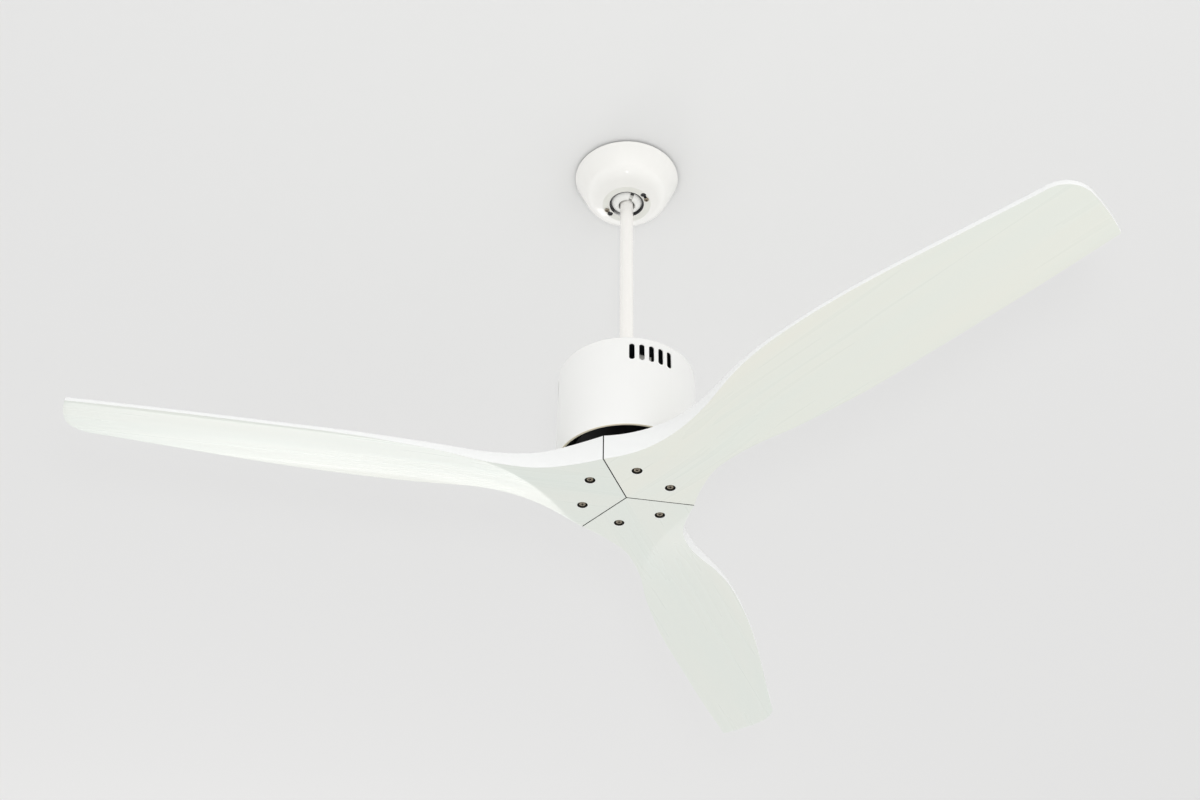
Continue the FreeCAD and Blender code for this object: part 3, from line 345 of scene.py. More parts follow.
def turnOnLathe(name, outline, steps):  # outline in millimetres, closed, spun round the Z axis
    clearBench()
    bpy.ops.mesh.primitive_circle_add(vertices=len(outline), radius=blankRadius)
    piece = named(name)
    for vertex, (radius, height) in zip(piece.data.vertices, outline):
        vertex.co = (radius * mm, 0, height * mm)
    edit(piece)
    bpy.ops.mesh.spin(steps=steps, angle=tau, center=(0, 0, 0), axis=(0, 0, 1))
    bpy.ops.mesh.select_all(action="SELECT")
    bpy.ops.mesh.remove_doubles(threshold=weldGap)
    bpy.ops.mesh.normals_make_consistent(inside=False)
    return done(piece)


def stamp(name, outline, low, high):  # a flat outline in millimetres, drawn out along Z
    clearBench()
    bpy.ops.mesh.primitive_circle_add(vertices=len(outline), radius=blankRadius, fill_type="NGON")
    piece = named(name)
    for vertex, (x, y) in zip(piece.data.vertices, outline):
        vertex.co = (x * mm, y * mm, low * mm)
    edit(piece)
    bpy.ops.mesh.extrude_region_move(TRANSFORM_OT_translate={"value": (0, 0, (high - low) * mm)})
    bpy.ops.mesh.select_all(action="SELECT")
    bpy.ops.mesh.normals_make_consistent(inside=False)
    return done(piece)


def putAt(piece, turn=0.0, shift=(0, 0, 0)):  # moves the mesh, so the object stays at the origin
    piece.data.transform(Matrix.Rotation(turn, 4, "Z") @ Matrix.Translation(Vector(shift) * mm))
    return piece


def copyOf(piece, name):
    twin = piece.copy()
    twin.data = piece.data.copy()
    twin.name = twin.data.name = name
    bpy.context.scene.collection.objects.link(twin)
    return twin


def joined(pieces, name):
    pickUp(pieces[0])
    for piece in pieces[1:]:
        piece.select_set(True)
    bpy.ops.object.join()
    return named(name)


def cutOut(piece, cutter):
    pickUp(piece)
    cut = piece.modifiers.new("cut", "BOOLEAN")
    cut.operation = "DIFFERENCE"
    cut.solver = "MANIFOLD"
    cut.object = cutter
    bpy.ops.object.modifier_apply(modifier=cut.name)
    piece.data.materials.clear()  # the cut leaves an empty slot behind
    bpy.data.objects.remove(cutter)
    return piece


def partPaint(piece, choose):  # choose numbers a face's paint from its middle in millimetres and its normal
    for face in piece.data.polygons:
        face.material_index = choose(face.center / mm, face.normal)
    return piece


def fitted(piece, paint, body, slot, *nodes):
    for finish in paint if isinstance(paint, list) else [paint]:
        piece.data.materials.append(finish)
    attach(piece, body)
    if nodes:
        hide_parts(*nodes)
    return piece


# Canopy: a spun bowl with two keyhole slots
canopyShape = {
    "rim": 85.5, "rimHeight": -3.0, "rimRound": 0.5, "flat": 39.3, "bottom": -61.7, "lean": 24, "slope": 20,
    "shoulder": 36.0, "sheet": 1.2, "footRound": 2.4, "opening": 28.3, "openingRound": 0.7, "openingTop": 0.3,
    "keyCircle": 34.4, "keyStart": -38, "keyTurn": 18, "keySlot": 2.5, "keyRound": 4.6, "keyPast": 2.0,
    "holeSteps": 24, "slotSteps": 11, "slotSkip": 4, "tipSteps": 8, "leastStep": 0.05,
    "footFacing": -0.99, "footBand": 0.3, "cornerSteps": 12, "steps": 192,
}


def bowlCorners(rim, top, flat, bottom, shoulder, foot):  # the leaning side and the shallow foot meet at the shoulder
    lean, slope = math.radians(canopyShape["lean"]), math.radians(canopyShape["slope"])
    reach = ((top - bottom) * math.cos(slope) - (rim - flat) * math.sin(slope)) / math.cos(lean + slope)
    corner = (rim - reach * math.sin(lean), top - reach * math.cos(lean))
    return [(flat, bottom, foot), (*corner, shoulder), (rim, top, canopyShape["rimRound"])]


def keyhole():  # a round hole for the screw's head and a bent slot for its shank
    s = canopyShape
    start, end = math.radians(s["keyStart"]), math.radians(s["keyStart"] + s["keyTurn"])
    centre, tip = polar(start, s["keyCircle"]), polar(end, s["keyCircle"])
    gap = math.asin(s["keySlot"] / s["keyRound"])
    opening = start + math.pi / 2 + gap
    outline = []
    for k in range(s["holeSteps"] + 1):
        outline.append(centre + polar(opening + (tau - 2 * gap) * k / s["holeSteps"], s["keyRound"]))
    bends = [start + (end - start) * k / s["slotSteps"] for k in range(s["slotSkip"], s["slotSteps"] + 1)]
    outline += [polar(bend, s["keyCircle"] + s["keySlot"]) for bend in bends]
    for k in range(s["tipSteps"] + 1):
        outline.append(tip + polar(end + math.pi * k / s["tipSteps"], s["keySlot"]))
    outline += [polar(bend, s["keyCircle"] - s["keySlot"]) for bend in bends[::-1]]
    spaced = outline[:1]
    for point in outline:
        if (point - spaced[-1]).length > s["leastStep"]:
            spaced.append(point)
    return spaced


def makeCanopy():
    s = canopyShape
    sheet, inside = s["sheet"], s["bottom"] + s["sheet"]
    innerRim = s["rim"] - sheet / math.cos(math.radians(s["lean"]))
    innerFlat = s["flat"] - sheet * math.tan(math.radians(s["slope"]) / 2)
    outer = bowlCorners(s["rim"], s["rimHeight"], s["flat"], s["bottom"], s["shoulder"], s["footRound"])
    inner = bowlCorners(innerRim, s["rimHeight"], innerFlat, inside, s["shoulder"] - sheet, s["footRound"] - sheet)
    mouth = [(s["opening"], inside, s["openingTop"]), (s["opening"], s["bottom"], s["openingRound"])]
    piece = turnOnLathe("canopyBowl", rounded(outer + inner[::-1] + mouth, s["cornerSteps"]), s["steps"])
    cutters = [stamp("keyCutter", keyhole(), s["bottom"] - s["keyPast"], inside + s["keyPast"])]
    cutters.append(putAt(copyOf(cutters[0], "keyCutterTwo"), math.pi))
    cutOut(piece, joined(cutters, "keyCutters"))
    smooth(piece)

    def paintOf(middle, normal):  # the bowl, then its flat foot, painted darker as painted shade
        return 1 if normal.z < s["footFacing"] and middle.z < s["bottom"] + s["footBand"] else 0

    partPaint(piece, paintOf)
    return fitted(piece, [paints["canopy"], paints["canopyFootShade"]], "canopy", "white_paint", "canopy")


makeCanopy()
print("canopy spun")

# Hanger ball: the lower ring of a sphere, bored for the rod, with its guide groove
ballShape = {
    "radius": 32.0, "centre": -37.0, "foot": -65.0, "top": -15.0, "bore": 10.55, "step": 2.8, "stepDepth": 13.0,
    "groove": 6.0, "grooveDepth": 4.5, "grooveTurn": -66, "grooveFrom": -80, "grooveTo": 20, "grooveSteps": 25,
    "boreWall": 1.5, "cutReach": 60.0, "cutLow": -110.0, "arcSteps": 40, "steps": 128, "smooth": 30,
}


def makeBall():
    s = ballShape
    middle = Vector((0, s["centre"]))
    low = math.asin((s["foot"] - s["centre"]) / s["radius"])
    high = math.asin((s["top"] - s["centre"]) / s["radius"])
    turns = [low + (high - low) * k / s["arcSteps"] for k in range(s["arcSteps"] + 1)]
    ledge, wide = s["foot"] + s["stepDepth"], s["bore"] + s["step"]
    bore = [(s["bore"], s["top"]), (s["bore"], ledge), (wide, ledge), (wide, s["foot"])]
    piece = turnOnLathe("hangerBall", [middle + polar(turn, s["radius"]) for turn in turns] + bore, s["steps"])
    span = s["grooveTo"] - s["grooveFrom"]
    turns = [math.radians(s["grooveFrom"] + span * k / s["grooveSteps"]) for k in range(s["grooveSteps"] + 1)]
    arc = [middle + polar(turn, s["radius"] - s["grooveDepth"]) for turn in turns]
    arc = [point for point in arc if point.x > s["bore"] + s["boreWall"]]
    outside = [(s["cutReach"], arc[-1].y), (s["cutReach"], s["cutLow"]), (arc[0].x, s["cutLow"])]
    cutter = stamp("grooveCutter", arc + outside, -s["groove"] / 2, s["groove"] / 2)
    cutter.data.transform(Matrix.Rotation(math.pi / 2, 4, "X"))
    cutOut(piece, putAt(cutter, math.radians(s["grooveTurn"])))
    return fitted(smooth(piece, s["smooth"]), paints["ball"], "hanger", "ball_plastic", "hanger_ball")


makeBall()
print("ball turned")

# Down rod and coupling cover
rodShape = {"radius": 10.5, "wall": 1.5, "top": -18.0, "bottom": -430.0, "round": 0.4, "cornerSteps": 3, "steps": 96}
coverShape = {"radius": 36.0, "sheet": 1.5, "bottom": -435.7, "top": -384.0, "round": 7.0, "hole": 11.0,
              "outerEdge": 0.5, "innerEdge": 0.3, "cornerSteps": 8, "steps": 128}


def makeRod():
    s = rodShape
    inner = s["radius"] - s["wall"]
    corners = [(s["radius"], s["bottom"]), (s["radius"], s["top"]), (inner, s["top"]), (inner, s["bottom"])]
    outline = rounded([(*corner, s["round"]) for corner in corners], s["cornerSteps"])
    piece = turnOnLathe("downRod", outline, s["steps"])
    return fitted(smooth(piece), paints["rod"], "hanger", "rod_paint", "downrod")


def makeCover():
    s = coverShape
    inner, under = s["radius"] - s["sheet"], s["top"] - s["sheet"]
    outline = rounded([
        (s["radius"], s["bottom"], s["outerEdge"]), (s["radius"], s["top"], s["round"]),
        (s["hole"], s["top"], s["outerEdge"]), (s["hole"], under, s["innerEdge"]),
        (inner, under, s["round"] - s["sheet"]), (inner, s["bottom"], s["innerEdge"]),
    ], s["cornerSteps"])
    piece = turnOnLathe("couplingCover", outline, s["steps"])
    return fitted(smooth(piece), paints["canopy"], "coupling_cover", "white_paint", "coupling_cover")


makeRod()
makeCover()
print("rod and cover turned")

# Motor housing: a spun drum with three groups of vents and an inward lip
housingShape = {
    "radius": 101.0, "top": -436.0, "bottom": -593.5, "sheet": 1.2, "topSheet": 1.5, "corner": 3.0, "innerCorner": 1.5,
    "lip": 2.2, "neck": 17.3, "neckEdge": 0.3, "edge": 0.4, "rimRound": 0.5, "cornerSteps": 6, "steps": 256,
    "ventWidth": 8.0, "ventHeight": 29.0, "ventDepth": 20.0, "ventMiddle": -463.5, "ventTurn": -69.3, "ventPitch": 8.2,
    "ventCount": 5, "ventGroups": 3, "ventSides": 24, "ventHalf": 0.001,
    "lipBand": 0.6, "lipFacing": -0.5, "insideBand": 0.1,
}


def ventCutter():  # an upright slot with round ends, at the drum's skin
    s = housingShape
    clearBench()
    bpy.ops.mesh.primitive_cylinder_add(
        vertices=s["ventSides"], radius=s["ventWidth"] / 2 * mm, depth=s["ventDepth"] * mm)
    vent = named("ventCutter")
    length = (s["ventHeight"] - s["ventWidth"]) * mm
    edit(vent)
    pickPoints(vent, lambda place: place.x > s["ventHalf"] * mm)
    bpy.ops.transform.translate(value=(length, 0, 0))
    done(vent)
    stand = Matrix.Translation((s["radius"] * mm, 0, s["ventMiddle"] * mm)) @ Matrix.Rotation(-math.pi / 2, 4, "Y")
    vent.data.transform(stand @ Matrix.Translation((-length / 2, 0, 0)))
    return vent


def makeHousing():
    s = housingShape
    inner, under, floor = s["radius"] - s["sheet"], s["top"] - s["topSheet"], s["bottom"] + s["sheet"]
    outline = rounded([
        (s["radius"], s["bottom"], s["rimRound"]), (s["radius"], s["top"], s["corner"]),
        (s["neck"], s["top"], s["edge"]), (s["neck"], under, s["neckEdge"]),
        (inner, under, s["innerCorner"]), (inner, floor, s["edge"]),
        (inner - s["lip"], floor, s["edge"]), (inner - s["lip"], s["bottom"], s["edge"]),
    ], s["cornerSteps"])
    piece = turnOnLathe("motorHousing", outline, s["steps"])
    vent = ventCutter()
    first = s["ventTurn"] - s["ventPitch"] * (s["ventCount"] - 1) / 2
    cutters = []
    for group in range(s["ventGroups"]):
        for k in range(s["ventCount"]):
            turn = math.radians(first + k * s["ventPitch"] + group * 360 / s["ventGroups"])
            cutters.append(putAt(copyOf(vent, "ventCut"), turn))
    bpy.data.objects.remove(vent)
    cutOut(piece, joined(cutters, "ventCuts"))
    smooth(piece)

    def paintOf(middle, normal):  # the skin, the inside painted near-black as painted shade, the lip's bare underside in cream brightened as painted light
        if middle.z < s["bottom"] + s["lipBand"] and normal.z < s["lipFacing"]:
            return 2
        within = middle.xy.length < inner + s["insideBand"] and middle.z < under + s["insideBand"]
        return 1 if within else 0

    partPaint(piece, paintOf)
    skins = [paints["housing"], paints["inside"], paints["lip"]]
    return fitted(piece, skins, "hanger", "housing_paint", "motor_housing")


makeHousing()
print("housing spun")

# Carved blades; stations and tip points are shares of the sweep, then of the chord
bladeShape = {
    "count": 3, "first": 191.1, "sweep": 761.9, "chord": 136.0, "bottom": -646.3, "height": 39.0, "gap": 1.6,
    "seam": 96.5, "rootRise": 3.0, "rootFade": 16.0, "underSlope": 0.23, "underFade": 48.0, "topSlope": 0.228,
    "topFade": 25.0, "creaseShare": 0.511, "creaseFade": 96.0, "creasePower": 1.27, "hollow": 1.0, "hollowEnd": 1 / 3,
    "crown": 3.0, "rim": 2.6, "rimWidth": 40.0, "rimGrow": 150.0, "soft": 0.35, "softGrow": 40.0,
    "tipCorner": (0.988, 0.545), "tipBow": (0.999, 0.220), "tipFarEdge": 0.171, "tipRound": 36.7, "tipSteps": 24,
    "along": 210, "across": 60, "spacing": 0.55, "edge": 1.2, "edgeAngle": 45, "edgeSegments": 3, "smooth": 32,
    "screwCircle": 64.8, "screwSpread": 28.2, "pocket": 7.5, "pocketDepth": 6.4, "pocketBevel": 0.5, "pocketPast": 6.0,
    "pocketSteps": 48,
}
bladeZones = {"seamBand": 0.2, "seamFacing": 0.8, "pocketFrom": 0.45, "pocketTo": 0.5, "pocketBand": 0.2,
              "edgeFacing": 0.75}
bladeStations = ((0.093, 0.520, 0.507), (0.132, 0.417, 0.391), (0.172, 0.344, 0.321), (0.220, 0.330, 0.294),
                 (0.272, 0.353, 0.315), (0.331, 0.421, 0.383), (0.411, 0.484, 0.447), (0.504, 0.533, 0.455),
                 (0.610, 0.547, 0.422), (0.822, 0.558, 0.272))
hands = (-1, 1)


def arcThrough(first, middle, last, steps=40):
    a, b, c = first, middle, last
    d = 2 * (a.x * (b.y - c.y) + b.x * (c.y - a.y) + c.x * (a.y - b.y))
    ux = (a.length_squared * (b.y - c.y) + b.length_squared * (c.y - a.y) + c.length_squared * (a.y - b.y)) / d
    uy = (a.length_squared * (c.x - b.x) + b.length_squared * (a.x - c.x) + c.length_squared * (b.x - a.x)) / d
    centre = Vector((ux, uy))
    begin = math.atan2(a.y - uy, a.x - ux)
    swing = (math.atan2(c.y - uy, c.x - ux) - begin + math.pi) % tau - math.pi
    radius = (a - centre).length
    return [centre + polar(begin + swing * k / steps, radius) for k in range(steps + 1)]


def drawnThrough(points, steps=24):  # a natural cubic curve through the points
    knots = [0.0]
    for a, b in zip(points, points[1:]):
        knots.append(knots[-1] + (b - a).length)
    count = len(points)
    bends = []
    for axis in (0, 1):
        y = [point[axis] for point in points]
        upper, value = [0.0] * count, [0.0] * count
        for k in range(1, count - 1):
            h0, h1 = knots[k] - knots[k - 1], knots[k + 1] - knots[k]
            pivot = 2 * (h0 + h1) - h0 * upper[k - 1]
            upper[k] = h1 / pivot
            value[k] = (6 * ((y[k + 1] - y[k]) / h1 - (y[k] - y[k - 1]) / h0) - h0 * value[k - 1]) / pivot
        bend = [0.0] * count
        for k in range(count - 2, 0, -1):
            bend[k] = value[k] - upper[k] * bend[k + 1]
        bends.append(bend)
    path = []
    for k in range(count - 1):
        h = knots[k + 1] - knots[k]
        for n in range(steps):
            t = n / steps
            s = 1 - t
            place = []
            for axis in (0, 1):
                pull = (s ** 3 - s) * bends[axis][k] + (t ** 3 - t) * bends[axis][k + 1]
                place.append(s * points[k][axis] + t * points[k + 1][axis] + h * h / 6 * pull)
            path.append(Vector(place))
    return path + [points[-1]]


def measured(path):  # gives the point at a share of a path's length
    lengths = [0.0]
    for a, b in zip(path, path[1:]):
        lengths.append(lengths[-1] + (b - a).length)

    def at(share):
        want = share * lengths[-1]
        low, high = 0, len(path) - 1
        while high - low > 1:
            middle = (low + high) // 2
            if lengths[middle] <= want:
                low = middle
            else:
                high = middle
        span = lengths[high] - lengths[low]
        return path[low].lerp(path[high], (want - lengths[low]) / span if span else 0.0)
    return at


def bladeEdges():
    b = bladeShape

    def spot(along, across):
        return Vector((along * b["sweep"], across * b["chord"]))

    half = math.pi / b["count"]
    apex = Vector((b["gap"] / 2 / math.sin(half), 0))
    corner = apex + polar(half, b["seam"])
    lower = Vector((corner.x, -corner.y))
    near = [corner] + [spot(along, share) for along, share, _ in bladeStations] + [spot(*b["tipCorner"])]
    centre = Vector((b["sweep"] - b["tipRound"], b["tipRound"] - b["tipFarEdge"] * b["chord"]))
    turns = [math.pi / 2 * k / b["tipSteps"] for k in range(b["tipSteps"] + 1)]
    bend = [centre + polar(turn - math.pi / 2, b["tipRound"]) for turn in turns]
    far = [lower] + [spot(along, -share) for along, _, share in bladeStations] + bend[:1]
    bow = arcThrough(near[-1], spot(*b["tipBow"]), bend[-1])
    split = b["tipSteps"] // 2  # the far edge ends, and the tip begins, in the middle of the bend
    farLine = measured(drawnThrough(far) + bend[1:split + 1])
    tipLine = measured(bend[split:] + bow[-2::-1])
    return farLine, measured(drawnThrough(near)), measured([lower, apex, corner]), tipLine, corner


farLine, nearLine, rootLine, tipLine, rootCorner = bladeEdges()


def bladePlace(u, v):  # a patch stretched between the four edges
    w = (v + 1) / 2
    a, b, c, d = farLine(u), nearLine(u), rootLine(w), tipLine(w)
    corners = (farLine(0) * (1 - w) + nearLine(0) * w) * (1 - u) + (farLine(1) * (1 - w) + nearLine(1) * w) * u
    return a * (1 - w) + b * w + c * (1 - u) + d * u - corners


def softMax(a, b, soft):
    return 0.5 * (a + b + math.sqrt((a - b) ** 2 + soft ** 2))


def clamped(share):
    return min(1.0, max(0.0, share))


def bladeLevels(along, across):  # heights of the underside and the top over the blade's bottom
    b = bladeShape
    past = max(0.0, along - rootCorner.x)
    farCrease = b["creaseShare"] * b["chord"]
    crease = farCrease - (farCrease + rootCorner.y) * math.exp(-(past / b["creaseFade"]) ** b["creasePower"])
    carved = 1 - math.exp(-past / b["underFade"])
    share = clamped((crease - across) / (crease + b["hollowEnd"] * b["chord"])) if crease > 0 else 0.0
    hollow = b["hollow"] * 4 * share * (1 - share) * min(1.0, crease / farCrease)
    under = carved * (b["underSlope"] * (crease - across) + hollow)
    bulge = b["crown"] * max(0.0, crease / farCrease) * (1 - (2 * across / b["chord"]) ** 2)
    level = b["height"] - b["rootRise"] * (1 - math.exp(-past / b["rootFade"]))
    rim = clamped(1 + (across - b["chord"] / 2) / b["rimWidth"]) ** 2 * min(1.0, past / b["rimGrow"])
    slope = b["topSlope"] * (1 - math.exp(-past / b["topFade"]))
    over = level - slope * (across + crease) + bulge + b["rim"] * rim
    soft = b["soft"] * min(1.0, past / b["softGrow"])
    return softMax(0.0, under, soft), -softMax(-level, -over, soft)


def bladeBoard():  # a grid laid on the top, drawn down to the underside, with its sharp edges eased
    b = bladeShape
    clearBench()
    bpy.ops.mesh.primitive_grid_add(x_subdivisions=b["along"], y_subdivisions=b["across"], size=2)
    piece = named("bladeBoard")
    for vertex in piece.data.vertices:
        u = (vertex.co.x + 1) / 2
        along, across = bladePlace(b["spacing"] * u + (1 - b["spacing"]) * u * u, vertex.co.y)
        vertex.co = (along * mm, across * mm, bladeLevels(along, across)[1] * mm)
    edit(piece)
    bpy.ops.mesh.extrude_region_move(TRANSFORM_OT_translate={"value": (0, 0, -mm)})
    sheet = bmesh.from_edit_mesh(piece.data)
    for vertex in sheet.verts:
        if vertex.select:
            vertex.co.z = bladeLevels(vertex.co.x / mm, vertex.co.y / mm)[0] * mm
    bmesh.update_edit_mesh(piece.data)
    bpy.ops.mesh.select_all(action="SELECT")
    bpy.ops.mesh.normals_make_consistent(inside=False)
    bpy.ops.mesh.select_mode(type="EDGE")
    bpy.ops.mesh.select_all(action="DESELECT")
    bpy.ops.mesh.edges_select_sharp(sharpness=math.radians(b["edgeAngle"]))
    bpy.ops.mesh.bevel(offset=b["edge"] * mm, segments=b["edgeSegments"], profile=0.5, clamp_overlap=True)
    return done(piece)


def makeBlade():
    b = bladeShape
    piece = bladeBoard()
    wall, bevel, past, depth = b["pocket"], b["pocketBevel"], b["pocketPast"], b["pocketDepth"]
    mouth = [(0, -past), (wall + bevel + past, -past), (wall + bevel, 0), (wall, bevel), (wall, depth), (0, depth)]
    cutters = []
    for hand in hands:
        cutter = turnOnLathe("pocketCutter", mouth, b["pocketSteps"])
        cutters.append(putAt(cutter, math.radians(hand * b["screwSpread"]), (b["screwCircle"], 0, 0)))
    cutOut(piece, joined(cutters, "pocketCutters"))
    putAt(piece, 0, (0, 0, b["bottom"]))
    smooth(piece, b["smooth"])
    half = math.pi / b["count"]
    seams = [Vector((-math.sin(half), hand * math.cos(half), 0)) for hand in hands]
    places = [polar(math.radians(hand * b["screwSpread"]), b["screwCircle"]) for hand in hands]

    def paintOf(middle, normal):  # the broad faces, the white edges, and the seams and pockets painted near-black as painted shade
        z = bladeZones
        if middle.x < rootCorner.x + z["seamBand"] and max(normal.dot(seam) for seam in seams) > z["seamFacing"]:
            return 2
        within = min((middle.xy - place).length for place in places) < wall + z["pocketBand"]
        if within and z["pocketFrom"] < middle.z - b["bottom"] < depth + z["pocketTo"]:
            return 2
        return 1 if abs(normal.z) < z["edgeFacing"] else 0

    return partPaint(piece, paintOf)


board = makeBlade()
for k in range(bladeShape["count"]):
    turn = math.radians(bladeShape["first"] + 360 / bladeShape["count"] * k)
    piece = putAt(copyOf(board, "bladeBoard%d" % (k + 1)), turn)
    face = bladePaint("bladePaint%d" % (k + 1), turn, *bladeShadedTints[k])
    fitted(piece, [face, paints["bladeSide"], paints["recessShade"]], "rotor", "blade_wood", "blade_%d" % (k + 1))
bpy.data.objects.remove(board)
print("blades carved")

# Cross-recess screws and their washers; the head is in shares of the shank's radius, the recess in shares of the head
screwHead = {
    "radius": 1.95, "height": 1.25, "underRound": 0.08, "rimHeight": 0.45, "rimRound": 0.25, "crown": 0.72,
    "crownRound": 0.5, "point": 0.8, "pointLength": 0.3, "armLength": 1.25, "armWidth": 0.3, "armHeight": 1.3,
    "armTaper": (0.45, 0.7, 1.0), "armDrop": 1.05, "recess": 0.7, "recessTop": 0.96,
    "cornerSteps": 4, "steps": 40, "smooth": 30,
}
bladeScrewShape = {"shank": 3.0, "length": 40.0, "seat": -641.1, "turns": (12, 71, 38, 105, 150, 84)}
washerShape = {"radius": 7.0, "hole": 3.1, "thick": 1.2, "outerEdge": 0.25, "innerEdge": 0.2, "cornerSteps": 3,
               "steps": 56}
canopyScrewShape = {"shank": 2.0, "length": 10.8, "seat": -62.0, "places": (-20, 160), "turns": (25, 75)}


def recessArm(head, tall, turn):
    s = screwHead
    clearBench()
    bpy.ops.mesh.primitive_cube_add(size=1)
    arm = named("recessArm")
    edit(arm)
    bpy.ops.transform.resize(value=(head * s["armLength"] * mm, head * s["armWidth"] * mm, tall * s["armHeight"] * mm))
    pickPoints(arm, lambda place: place.z > 0)
    bpy.ops.transform.resize(value=s["armTaper"])
    done(arm)
    return putAt(arm, turn, (0, 0, -tall * s["armDrop"]))


def panScrew(name, shank, length):  # head below height zero, shank above
    s = screwHead
    head, tall = shank * s["radius"], shank * s["height"]
    outline = rounded([
        (head, 0, shank * s["underRound"]), (head, -tall * s["rimHeight"], shank * s["rimRound"]),
        (head * s["crown"], -tall, shank * s["crownRound"]), (0, -tall),
    ], s["cornerSteps"])
    outline += [(0, length), (shank * s["point"], length), (shank, length - shank * s["pointLength"]), (shank, 0)]
    piece = turnOnLathe(name, outline, s["steps"])
    for arm in [recessArm(head, tall, turn) for turn in (0, math.pi / 2)]:
        cutOut(piece, arm)
    smooth(piece, s["smooth"])

    def paintOf(middle, normal):  # the metal, then the recess painted near-black as painted shade
        return 1 if middle.xy.length < head * s["recess"] and -tall * s["recessTop"] < middle.z < 0 else 0

    return partPaint(piece, paintOf)


def makeBladeScrews():
    s, w = bladeScrewShape, washerShape
    pattern = panScrew("bladeScrew", s["shank"], s["length"])
    ring = turnOnLathe("bladeWasher", rounded([
        (w["radius"], 0, w["outerEdge"]), (w["radius"], w["thick"], w["outerEdge"]),
        (w["hole"], w["thick"], w["innerEdge"]), (w["hole"], 0, w["innerEdge"]),
    ], w["cornerSteps"]), w["steps"])
    smooth(ring)
    spot = (bladeShape["screwCircle"], 0, s["seat"])
    count = 0
    for blade in range(bladeShape["count"]):
        for hand in hands:
            middle = bladeShape["first"] + 360 / bladeShape["count"] * blade
            turn = math.radians(middle + hand * bladeShape["screwSpread"])
            count += 1
            screw = putAt(copyOf(pattern, "bladeScrew%d" % count), math.radians(s["turns"][count - 1]))
            putAt(screw, turn, spot)
            fitted(screw, [paints["bronze"], paints["recessShade"]], "rotor", "blade_screw", "blade_screws")
            washer = putAt(copyOf(ring, "bladeWasher%d" % count), turn, spot)
            fitted(washer, paints["washer"], "rotor", "screw_steel", "blade_washers")
    bpy.data.objects.remove(pattern)
    bpy.data.objects.remove(ring)


def makeCanopyScrews():
    s = canopyScrewShape
    pattern = panScrew("canopyScrew", s["shank"], s["length"])
    for k, place in enumerate(s["places"]):
        screw = putAt(copyOf(pattern, "canopyScrew%d" % (k + 1)), math.radians(s["turns"][k]))
        putAt(screw, math.radians(place), (canopyShape["keyCircle"], 0, s["seat"]))
        fitted(screw, [paints["bronze"], paints["recessShade"]], "ceiling_mount", "screw_steel", "canopy_screws")
    bpy.data.objects.remove(pattern)


makeBladeScrews()
makeCanopyScrews()
print("screws driven")

# CAD nodes that stay, each with its finish
finishes = {
    "bracket": ["ceiling_bracket"],
    "steel": ["ball_cross_pin", "ball_set_screw", "coupler_pin", "coupler_clip", "coupler_set_screws",
              "housing_screws", "board_screws", "shaft_cross_pin", "shaft_clips", "rotor_screws", "hub_screws",
              "bearing_spacers", "board_standoffs"],
    "brass": ["earth_screw"],
    "cast": ["rod_coupler", "stator_hub", "heat_sink"],
    "black": ["rotor_upper_cover", "rotor_lower_cover", "hub_spacer", "blade_plate"],
    "ground": ["motor_shaft", "bearing_inner_rings", "bearing_outer_rings", "bearing_balls"],
    "core": ["stator_core", "rotor_ring"],
    "copper": ["stator_windings", "filter_coil"],
    "magnet": ["rotor_magnets"],
    "cage": ["bearing_cages"],
    "board": ["driver_board"],
    "sleeve": ["smoothing_capacitors"],
    "white": ["board_sockets", "lead_plug", "terminal_block"],
    "receiver": ["remote_receiver"],
    "leads": ["supply_leads", "motor_leads"],
}
for paint, nodes in finishes.items():
    for node in nodes:
        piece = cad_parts[node]
        piece.data.materials.clear()
        piece.data.materials.append(paints[paint])
print("inner pieces finished")

# Stage, light and camera; lengths in metres
roomLook = {
    "ceiling": (229, 229, 228), "ceilingHeight": 0.0006, "spread": 100.0, "rough": 0.9, "shine": 0.1,
    "cove": (226, 226, 225), "coveRadius": 45.0, "coveBend": 3.5, "coveThick": 0.2, "coveSteps": 96, "bendSteps": 12,
    "floorHeight": -5.5, "wallHeight": 30.0, "below": (0.522, 0.522, 0.524), "around": (1.69, 1.69, 1.70),
}
lampAim = (0, 0, -0.4)
lampLook = {
    "nearWindow": {"place": (3.4, -4.6, -2.7), "size": (4.6, 4.6), "power": 36, "colour": (1.0, 1.0, 0.995),
                   "mirrored": False},
    "farWindow": {"place": (-1.95, 5.6, -2.4), "size": (2.7, 1.5), "power": 29, "colour": (1.0, 0.965, 0.955),
                  "mirrored": True},
    "frontLamp": {"place": (0.05, -1.79, -1.69), "size": (0.17, 0.17), "power": 4.8, "colour": (1.0, 0.995, 0.985),
                  "mirrored": True},
}
viewLook = {"place": (0.0, -1.6889, -1.8150), "pitch": 38.4815, "yaw": 1.3227, "roll": 0.8729, "lens": 44.02,
            "sensor": 36}


def roomPaint(name):
    return Finish(name + "Paint", colour=tone(*roomLook[name]), rough=roomLook["rough"], shine=roomLook["shine"])


def makeCeiling():  # open from above, so views from there see the fan
    clearBench()
    bpy.ops.mesh.primitive_plane_add(size=roomLook["spread"], location=(0, 0, 0))
    ceiling = named("ceiling")
    ceiling.data.transform(Matrix.Translation((0, 0, roomLook["ceilingHeight"])) @ Matrix.Rotation(math.pi, 4, "X"))
    finish = roomPaint("ceiling")
    clear = finish.add("BsdfTransparent")
    behind = finish.add("NewGeometry", output="Backfacing")
    mixed = finish.add("MixShader", inputs={0: behind, 1: Value(finish, finish.shader.outputs[0]), 2: clear})
    finish.feed(finish.tree.nodes["Material Output"].inputs["Surface"], mixed)
    ceiling.data.materials.append(finish.material)


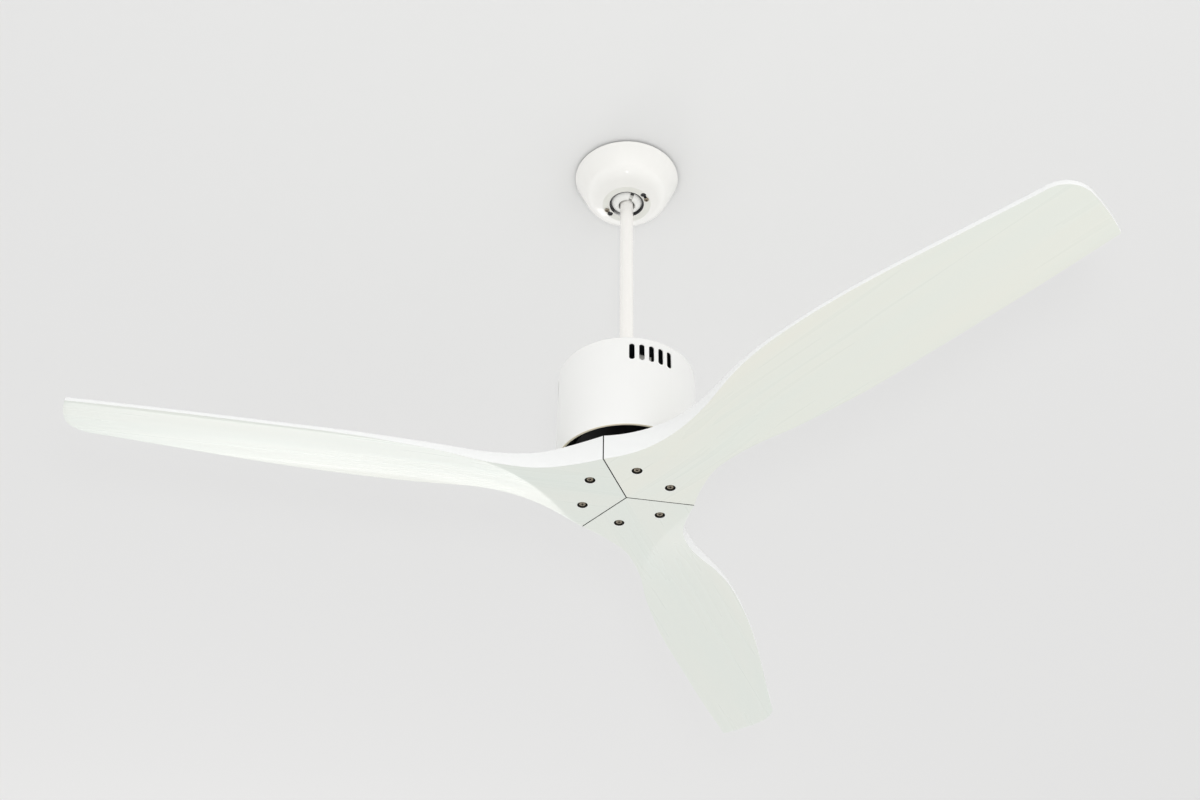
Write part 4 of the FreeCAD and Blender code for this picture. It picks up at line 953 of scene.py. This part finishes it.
def makeCove():  # a floor that bends up into a round wall; only the camera sees it, so the light from below stays
    radius, bend, thick = (roomLook[key] / mm for key in ("coveRadius", "coveBend", "coveThick"))
    low, high = (roomLook[key] / mm for key in ("floorHeight", "wallHeight"))
    outer = [(0, low - thick), (radius + thick, low - thick), (radius + thick, high)]
    outline = rounded(outer + [(radius, high), (radius, low, bend), (0, low)], roomLook["bendSteps"])
    cove = smooth(turnOnLathe("cove", outline, roomLook["coveSteps"]))
    cove.data.materials.append(roomPaint("cove").material)
    cove.visible_diffuse = cove.visible_glossy = cove.visible_shadow = False


def hangLamp(name, look):
    lamp = bpy.data.lights.new(name, "AREA")
    lamp.shape = "ELLIPSE"
    lamp.size, lamp.size_y = look["size"]
    lamp.energy = look["power"]
    lamp.color = look["colour"]
    holder = bpy.data.objects.new(name, lamp)
    bpy.context.scene.collection.objects.link(holder)
    holder.location = look["place"]
    holder.visible_glossy = look["mirrored"]
    holder.rotation_euler = (Vector(lampAim) - Vector(look["place"])).to_track_quat("-Z", "Y").to_euler()


def makeWorld():  # bright around, dimmer below
    world = bpy.data.worlds.new("room")
    bpy.context.scene.world = world
    world.use_nodes = True
    sky = Sky(world)
    height = sky.add("SeparateXYZ", inputs={"Vector": sky.add("TexCoord", output="Generated")}, output=2)
    level = sky.add("Math", {"operation": "ABSOLUTE"}, {0: height})
    colour = sky.between(level, shade(roomLook["around"]), shade(roomLook["below"]))
    sky.feed(world.node_tree.nodes["Background"].inputs["Color"], colour)


def standCamera():
    v = viewLook
    pitch, yaw, roll = math.radians(v["pitch"]), math.radians(v["yaw"]), math.radians(v["roll"])
    ahead = Vector((-math.sin(yaw) * math.cos(pitch), math.cos(yaw) * math.cos(pitch), math.sin(pitch)))
    right = Vector((math.cos(yaw), math.sin(yaw), 0))
    upward = right.cross(ahead)
    side = math.cos(roll) * right + math.sin(roll) * upward
    top = -math.sin(roll) * right + math.cos(roll) * upward
    camera = bpy.data.objects.new("camera", bpy.data.cameras.new("camera"))
    bpy.context.scene.collection.objects.link(camera)
    camera.data.sensor_width = v["sensor"]
    camera.data.lens = v["lens"]
    camera.matrix_world = Matrix.Translation(v["place"]) @ Matrix((side, top, -ahead)).transposed().to_4x4()
    bpy.context.scene.camera = camera


makeCeiling()
makeCove()
makeWorld()
for name, look in lampLook.items():
    hangLamp(name, look)
standCamera()
bpy.context.scene.view_settings.view_transform = "Standard"
print("room lit")
